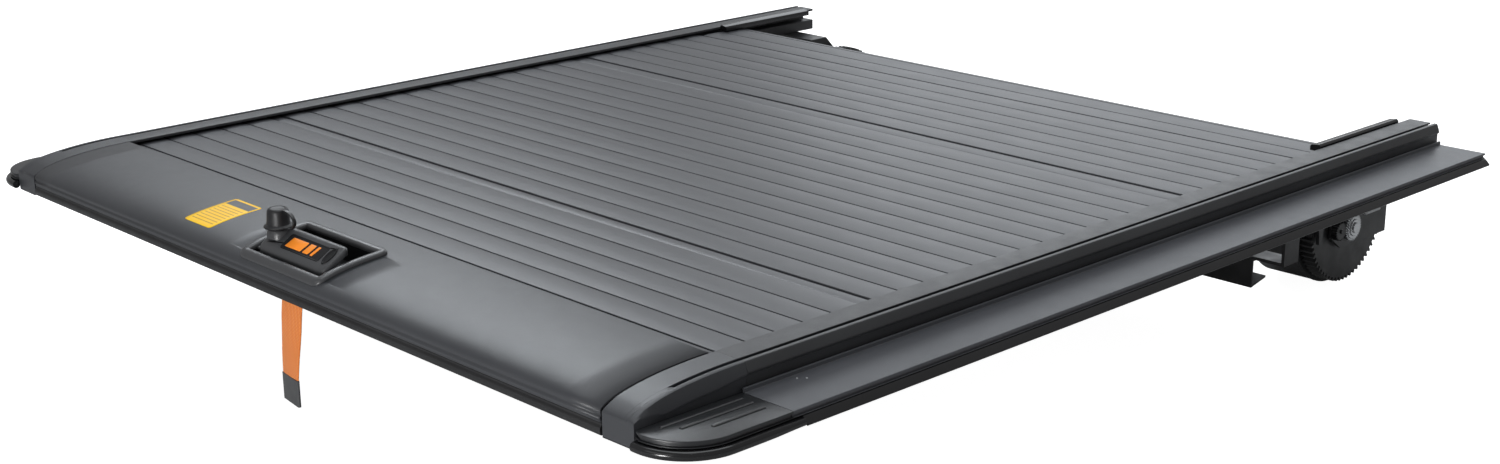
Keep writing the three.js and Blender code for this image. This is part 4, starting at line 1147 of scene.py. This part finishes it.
def band(stations, half, thick, soft, bow=0.0):
    """A flat band: at each station the section's points (a across, b through) turn by the twist.
    `bow` curves the section across, b + bow (1 - (a / half)^2)."""
    loop = dense(box_loop(-half, half, -thick / 2, thick / 2, soft, 3), 3 * MM)
    a = loop[None, :, 0]
    b = loop[None, :, 1] + bow * (1 - (a / half) ** 2)
    twist = stations[:, 3:4]
    x = stations[:, 0:1] + a * np.cos(twist) - b * np.sin(twist)
    y = stations[:, 1:2] + a * np.sin(twist) + b * np.cos(twist)
    z = np.broadcast_to(stations[:, 2:3], x.shape)
    verts, faces = stacked(np.stack([x, y, z], -1))
    along = np.linspace(1, 0, len(stations))[:, None]
    uv = np.stack([np.broadcast_to(a / (2 * half) + 0.5, x.shape), np.broadcast_to(along, x.shape)], -1)
    return verts, [face[::-1] for face in faces], uv.reshape(-1, 2)


stations, strap_length = finer(STRAP_ROUTE, 90)
verts, faces, uv = band(stations, STRAP_HALF, 1.8 * MM, 0.7 * MM, -0.8 * MM)
strap = make("strap_webbing", verts, faces, webbing, 50.0, tidy=False, uv=uv)
finish_piece(strap, "end_bar", "orange_webbing", "pull_strap")

tag_lo, tag_hi = cad_corners("strap_tag")
tag_line = np.repeat(STRAP_ROUTE[-1:], 12, 0)
tag_line[:, 2] = np.linspace(tag_hi[2] + 6 * MM, tag_lo[2] + 0.6 * MM, 12)
verts, faces, uv = band(tag_line, STRAP_HALF + 0.5 * MM, 4.2 * MM, 1.8 * MM)
tag = make("strap_tag_sewn", verts, faces, tag_grey, 50.0, tidy=False, uv=uv)
finish_piece(tag, "end_bar", "grey_tag", "strap_tag")
print("strap length", round(float(strap_length), 4))

# %% [markdown]
# ## The winding gear
# The toothed wheels, the shaft plates and the small gears keep their CAD shapes, with better
# finishes. The round drum, the cup and the spring are made again, because a spun or carried
# surface is smoother than a faceted solid.

# %% Finishes on CAD pieces
def paint(material, *names):
    """Gives CAD nodes one finish and leaves their shapes alone."""
    for name in names:
        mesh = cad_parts[name].data
        mesh.materials.clear()
        mesh.materials.append(material)
    print(material.name, "on", *names)


paint(gear_black, "drive_wheel_right", "drive_wheel_left")
paint(steel_black, "black_gear", "cross_beam", "side_plate_right", "side_plate_left",
      "beam_hanger_right", "beam_hanger_left")
paint(bright, "silver_gear", "paddle_pin", "latch_bolt_right", "latch_bolt_left")

# %% [markdown]
# The drum is a tube with two recessed ends on a thin shaft. It is spun about the axle, its left half
# the mirror of its right.

# %% Drum
drum_lo, drum_hi = cad_corners("drum")
wheel_lo, wheel_hi = cad_corners("drive_wheel_right")
AXLE = (drum_lo + drum_hi)[1:] / 2


def turned_on_x(profile, centre, count=72):
    """Points (r, x) spun about a line along X: y = cy + r cos a, z = cz + r sin a."""
    profile = np.asarray(profile, float)
    angle = np.linspace(0, 2 * np.pi, count, endpoint=False)
    r, x = profile[:, :1], profile[:, 1:]
    y, z = centre[0] + r * np.cos(angle), centre[1] + r * np.sin(angle)
    return stacked(np.stack([x + 0 * angle, y, z], -1))


def drum_profile():
    """The drum's (radius, x) pairs: the right half, and the same half turned round."""
    end, tube = drum_hi[0], wheel_lo[0] - 0.3 * MM
    r, shaft, inside = 45 * MM, 12 * MM, 42 * MM
    half = [(shaft, tube - 20 * MM), (inside, tube - 20 * MM), (inside, tube), (r - 0.5 * MM, tube),
            (r, tube - 0.6 * MM)]
    right = [(shaft - 0.8 * MM, end), (shaft, end - 0.8 * MM)] + half
    left = [(radius, -x) for radius, x in reversed(right)]
    return right + left


piece = make("drum_skin", *turned_on_x(drum_profile(), AXLE), steel_black)
finish_piece(piece, "drum", "black_steel", "drum")
print("axle at", np.round(AXLE, 4))

# %% [markdown]
# ## The guide cup
# A part of a housing round the right wheel. Its wall is a section with a rolled rim, carried round
# an arc about the axle. A flat part of a ring closes each side,
# and a block joins it to the beam.

# %% Guide cup
cup_lo, cup_hi = cad_corners("guide_cup")
CUP_IN, CUP_OUT = 108 * MM, 111 * MM
CUP_FROM, CUP_TO, SHIELD_FROM = math.pi * 0.93, math.pi * 1.55, math.pi * 0.66


def arc_band(r_in, r_out, x0, x1, bead=0.0, start=CUP_FROM):
    """A curved wall: its section in (r, x), with a bead at the open rim, carried round the arc."""
    loop = [(r_in, x0), (r_out, x0), (r_out, x1 - 6 * MM), (r_out + bead, x1 - 5 * MM),
            (r_out + bead, x1), (r_in, x1)]
    section = rounded(loop, 0.7 * MM, 3) if bead else np.array(loop)
    angle = np.linspace(start, CUP_TO, 56)[:, None]
    r, x = section[None, :, 0], section[None, :, 1]
    y, z = AXLE[0] + r * np.cos(angle), AXLE[1] + r * np.sin(angle)
    return stacked(np.stack([x + 0 * angle, y, z], -1))


beam_hi = cad_corners("cross_beam")[1]


def cup_foot():
    """A block from the beam's face to the cup's wall."""
    loop = box_loop(beam_hi[1] + 0.3 * MM, AXLE[0] - CUP_IN * 0.97,
                    beam_hi[2] - 26 * MM, beam_hi[2] + 34 * MM, 3 * MM)
    return extrusion([loop], "x", [cup_lo[0], cup_lo[0] + 26 * MM])


wall_in = CUP_IN + 1 * MM
cup_parts = [arc_band(CUP_IN, CUP_OUT, cup_lo[0], cup_hi[0], 0.8 * MM),
             arc_band(65 * MM, wall_in, cup_lo[0], cup_lo[0] + 3 * MM),
             arc_band(60 * MM, wall_in, cup_hi[0] - 2.6 * MM, cup_hi[0] - 0.6 * MM, start=SHIELD_FROM),
             cup_foot()]
piece = make("guide_cup_skin", *together(cup_parts), gear_black)
finish_piece(piece, "rails", "moulded_black", "guide_cup")
print("cup width", round(float(cup_hi[0] - cup_lo[0]), 4))

# %% [markdown]
# ## The spring
# A close-wound spring: a round wire whose centre follows a helix, y = p t, x and z on a circle. The
# tube is a grid of wire sections along the helix, with no curve object to convert.

# %% Spring
spring_lo, spring_hi = cad_corners("pawl_spring")


def helix_tube():
    """A tube of wire radius w round a helix of radius R - w, with the wire's frame from the
    helix's outward direction and the spring's axis."""
    turns, wire = 13, 1.1 * MM
    centre = (spring_lo + spring_hi) / 2
    radius = (spring_hi[0] - spring_lo[0]) / 2 - wire
    t = np.linspace(0, 2 * np.pi * turns, turns * 16)[:, None]
    around = np.linspace(0, 2 * np.pi, 8, endpoint=False)[None]
    length = spring_hi[1] - spring_lo[1] - 2 * wire
    reach = radius + wire * np.cos(around)
    y = spring_lo[1] + wire + length * t / t.max() + wire * np.sin(around)
    return stacked(np.stack([centre[0] + reach * np.cos(t), y, centre[2] + reach * np.sin(t)], -1))


piece = make("pawl_spring_coil", *helix_tube(), bright, 60.0)
finish_piece(piece, "rails", "bright_steel", "pawl_spring")
print("spring length", round(float(spring_hi[1] - spring_lo[1]), 4))

# %% [markdown]
# ## Small parts of the winding gear
# On the silver gear's outer face sits a hub in three ribbed steps. The outline of each step is
# r = R + h cos(n a), which draws all its ribs in one closed loop.

# %% Hub
silver_lo, silver_hi = cad_corners("silver_gear")
silver_at = (silver_lo + silver_hi)[1:] / 2
plate_hi = cad_corners("side_plate_right")[1]


def ribbed(radius, depth, count, x0, x1):
    """A ribbed disc about a line along X, its outline a cosine wave on a circle."""
    a = np.linspace(0, 2 * np.pi, count * 8, endpoint=False)
    r = radius + depth * np.cos(count * a)
    loop = np.stack([silver_at[0] + r * np.cos(a), silver_at[1] + r * np.sin(a)], 1)
    return extrusion([loop], "x", [x0, x1])


# radius, rib height, ribs, and the two faces off the gear, in millimetres
HUB_STEPS = ((17.5, 1.0, 26, 0.1, 1.6), (13, 0.8, 20, 1.7, 3.2), (8, 0.5, 12, 3.3, 5.4))
hub = [ribbed(radius * MM, depth * MM, count, silver_hi[0] + x0 * MM, silver_hi[0] + x1 * MM)
       for radius, depth, count, x0, x1 in HUB_STEPS]
finish_piece(make("silver_hub", *together(hub), bright, 20.0), "silver_gear", "bright_steel")
print("hub steps", len(hub))

# %% [markdown]
# A pawl arm hangs beside the toothed wheel, and a bright knurled bar belongs near the plate's cab
# edge. The arm is a bent flat plate and the bar is a row of small blocks. The bar is measured from
# the plate's whole box, whose outer side is the top flange, so it stands clear of the plate's face.

# %% Pawl arm and knurled bar
PAWL = np.array([(1479, -121), (1500, -114), (1506, -124), (1496, -131), (1494, -151), (1486, -154),
                 (1484, -134)]) * MM
arm_x = [wheel_hi[0] + 3 * MM, wheel_hi[0] + 9 * MM]
piece = extruded("pawl_arm", [rounded(PAWL, 2 * MM)], "x", arm_x, steel_black)
finish_piece(piece, "rails", "black_steel")

KNURL, KNURL_STEP = 3.4 * MM, 4 * MM
knurl_z = plate_hi[2] - 34 * MM, plate_hi[2] - 22 * MM
knurl_x = [plate_hi[0] + 0.2 * MM, plate_hi[0] + 2.6 * MM]
knurl_y = np.arange(plate_hi[1] - 46 * MM, plate_hi[1] - 3 * MM, KNURL_STEP)
blocks = [extrusion([box_loop(y, y + KNURL, *knurl_z, 0.8 * MM)], "x", knurl_x) for y in knurl_y]
finish_piece(make("knurled_bar", *together(blocks), bright), "rails", "bright_steel")
print("knurls", len(blocks))

# %% [markdown]
# Black guide strips run along the rails' inner side at the cab end, 2 mm clear of them, and two
# small domed rivets sit on each ledge. The strip is an extrusion and a rivet is spun.

# %% Guide strips and rivets
GUIDE_FROM, GUIDE_TO = 1352 * MM, 1570 * MM
GUIDE = np.array([(-19, 33.2), (-2, 33.2), (-2, 41), (-5, 43.5), (-17, 41.5), (-19, 39)]) * MM
guide = extrusion([rounded(GUIDE, 0.5 * MM) + [FLANGE_IN, 0]], "y", [GUIDE_FROM, GUIDE_TO])
RIVET = [(1.3, -0.2), (1.3, 0.2), (0.91, 0.7), (0.325, 0.9)]
RIVET_SPOTS = ((700 * MM, 219 * MM), (707 * MM, 227 * MM))
rivet = [(radius * MM, LEDGE_TOP + height * MM) for radius, height in RIVET]
rivets = together([spun(rivet, spot, 16) for spot in RIVET_SPOTS])
for side in SIDES:
    on_side(side, "guide_strip_*", guide, rubber, "rails", "black_rubber")
    on_side(side, "ledge_rivets_*", rivets, bright, "rails", "bright_steel")
print("guide strip length", round(GUIDE_TO - GUIDE_FROM, 3), "rivets on a side", len(RIVET_SPOTS))

# %% [markdown]
# ## Light and floor
# The floor is plain and lies just below the strap. It glows white where the camera sees it, but
# throws no light of its own on the cover, so the sides stay dark.

# %% Floor
FLOOR_REACH, FLOOR_DROP, FLOOR_GLOW = 14.0, 4 * MM, 0.96

low = CAD_BOX[0][2] - FLOOR_DROP
floor_mesh = bpy.data.meshes.new("floor")
floor_corners = [(x * FLOOR_REACH, y * FLOOR_REACH, low) for x, y in ((-1, -1), (1, -1), (1, 1), (-1, 1))]
floor_mesh.from_pydata(floor_corners, [], [(0, 1, 2, 3)])
floor_material, floor_nodes, floor_links, floor_shader = new_material("pale_floor", (0.55, 0.55, 0.55), 0.9)
seen = floor_nodes.new("ShaderNodeLightPath")
glow = blend_math(floor_nodes, floor_links, "MULTIPLY", seen.outputs["Is Camera Ray"], FLOOR_GLOW)
socket(floor_shader, "Emission Color", (1.0, 1.0, 1.0, 1.0))
floor_links.new(glow, floor_shader.inputs["Emission Strength"])
floor_mesh.materials.append(floor_material)
floor = bpy.data.objects.new("floor", floor_mesh)
bpy.context.scene.collection.objects.link(floor)
print("floor at", round(low, 4))

# %% [markdown]
# The light is soft and comes from above, from past the cab and from the left, so that the coated
# tops pick up a long even sheen. Two weaker lights in front keep the nose and its seal readable.

# %% Lights
WORLD_STRENGTH = 0.34
COOL, COOLER, WHITE = (0.93, 0.965, 1.0), (0.90, 0.95, 1.0), (1.0, 1.0, 1.0)
# name, place, aim, size, power in watts, colour
LIGHTS = (
    ("top", (0.0, 0.8, 3.2), (0.0, 0.7, 0.0), (3.0, 3.0), 60, COOL),
    ("side", (-1.5, 4.9, 1.8), (0.3, 0.8, 0.0), (3.9, 2.4), 44, COOLER),
    ("key", (-2.75, 1.8, 2.5), (0.25, 0.06, 0.0), (1.6, 1.3), 44, COOLER),
    ("front", (0.5, -3.2, 1.8), (0.0, 0.2, 0.0), (3.0, 1.4), 12, WHITE),
    ("low front", (0.9, -1.5, -0.12), (0.0, 0.0, -0.09), (0.4, 0.4), 22, WHITE),
)


def area_light(name, place, aim, size, power, color):
    """A rectangular light whose -Z axis is turned from its place to its aim."""
    data = bpy.data.lights.new(name, "AREA")
    data.shape = "RECTANGLE"
    data.size, data.size_y = size
    data.energy = power
    data.color = color
    light = bpy.data.objects.new(name, data)
    bpy.context.scene.collection.objects.link(light)
    place, aim = Vector(place), Vector(aim)
    turn = (aim - place).to_track_quat("-Z", "Y").to_matrix().to_4x4()
    light.matrix_world = Matrix.Translation(place) @ turn


for row in LIGHTS:
    area_light(*row)
world = bpy.data.worlds.new("studio")
world.use_nodes = True
background = world.node_tree.nodes["Background"]
socket(background, "Color", (1.0, 1.0, 1.0, 1.0))
socket(background, "Strength", WORLD_STRENGTH)
bpy.context.scene.world = world
bpy.context.scene.view_settings.view_transform = "Standard"
print("lights", len(LIGHTS))
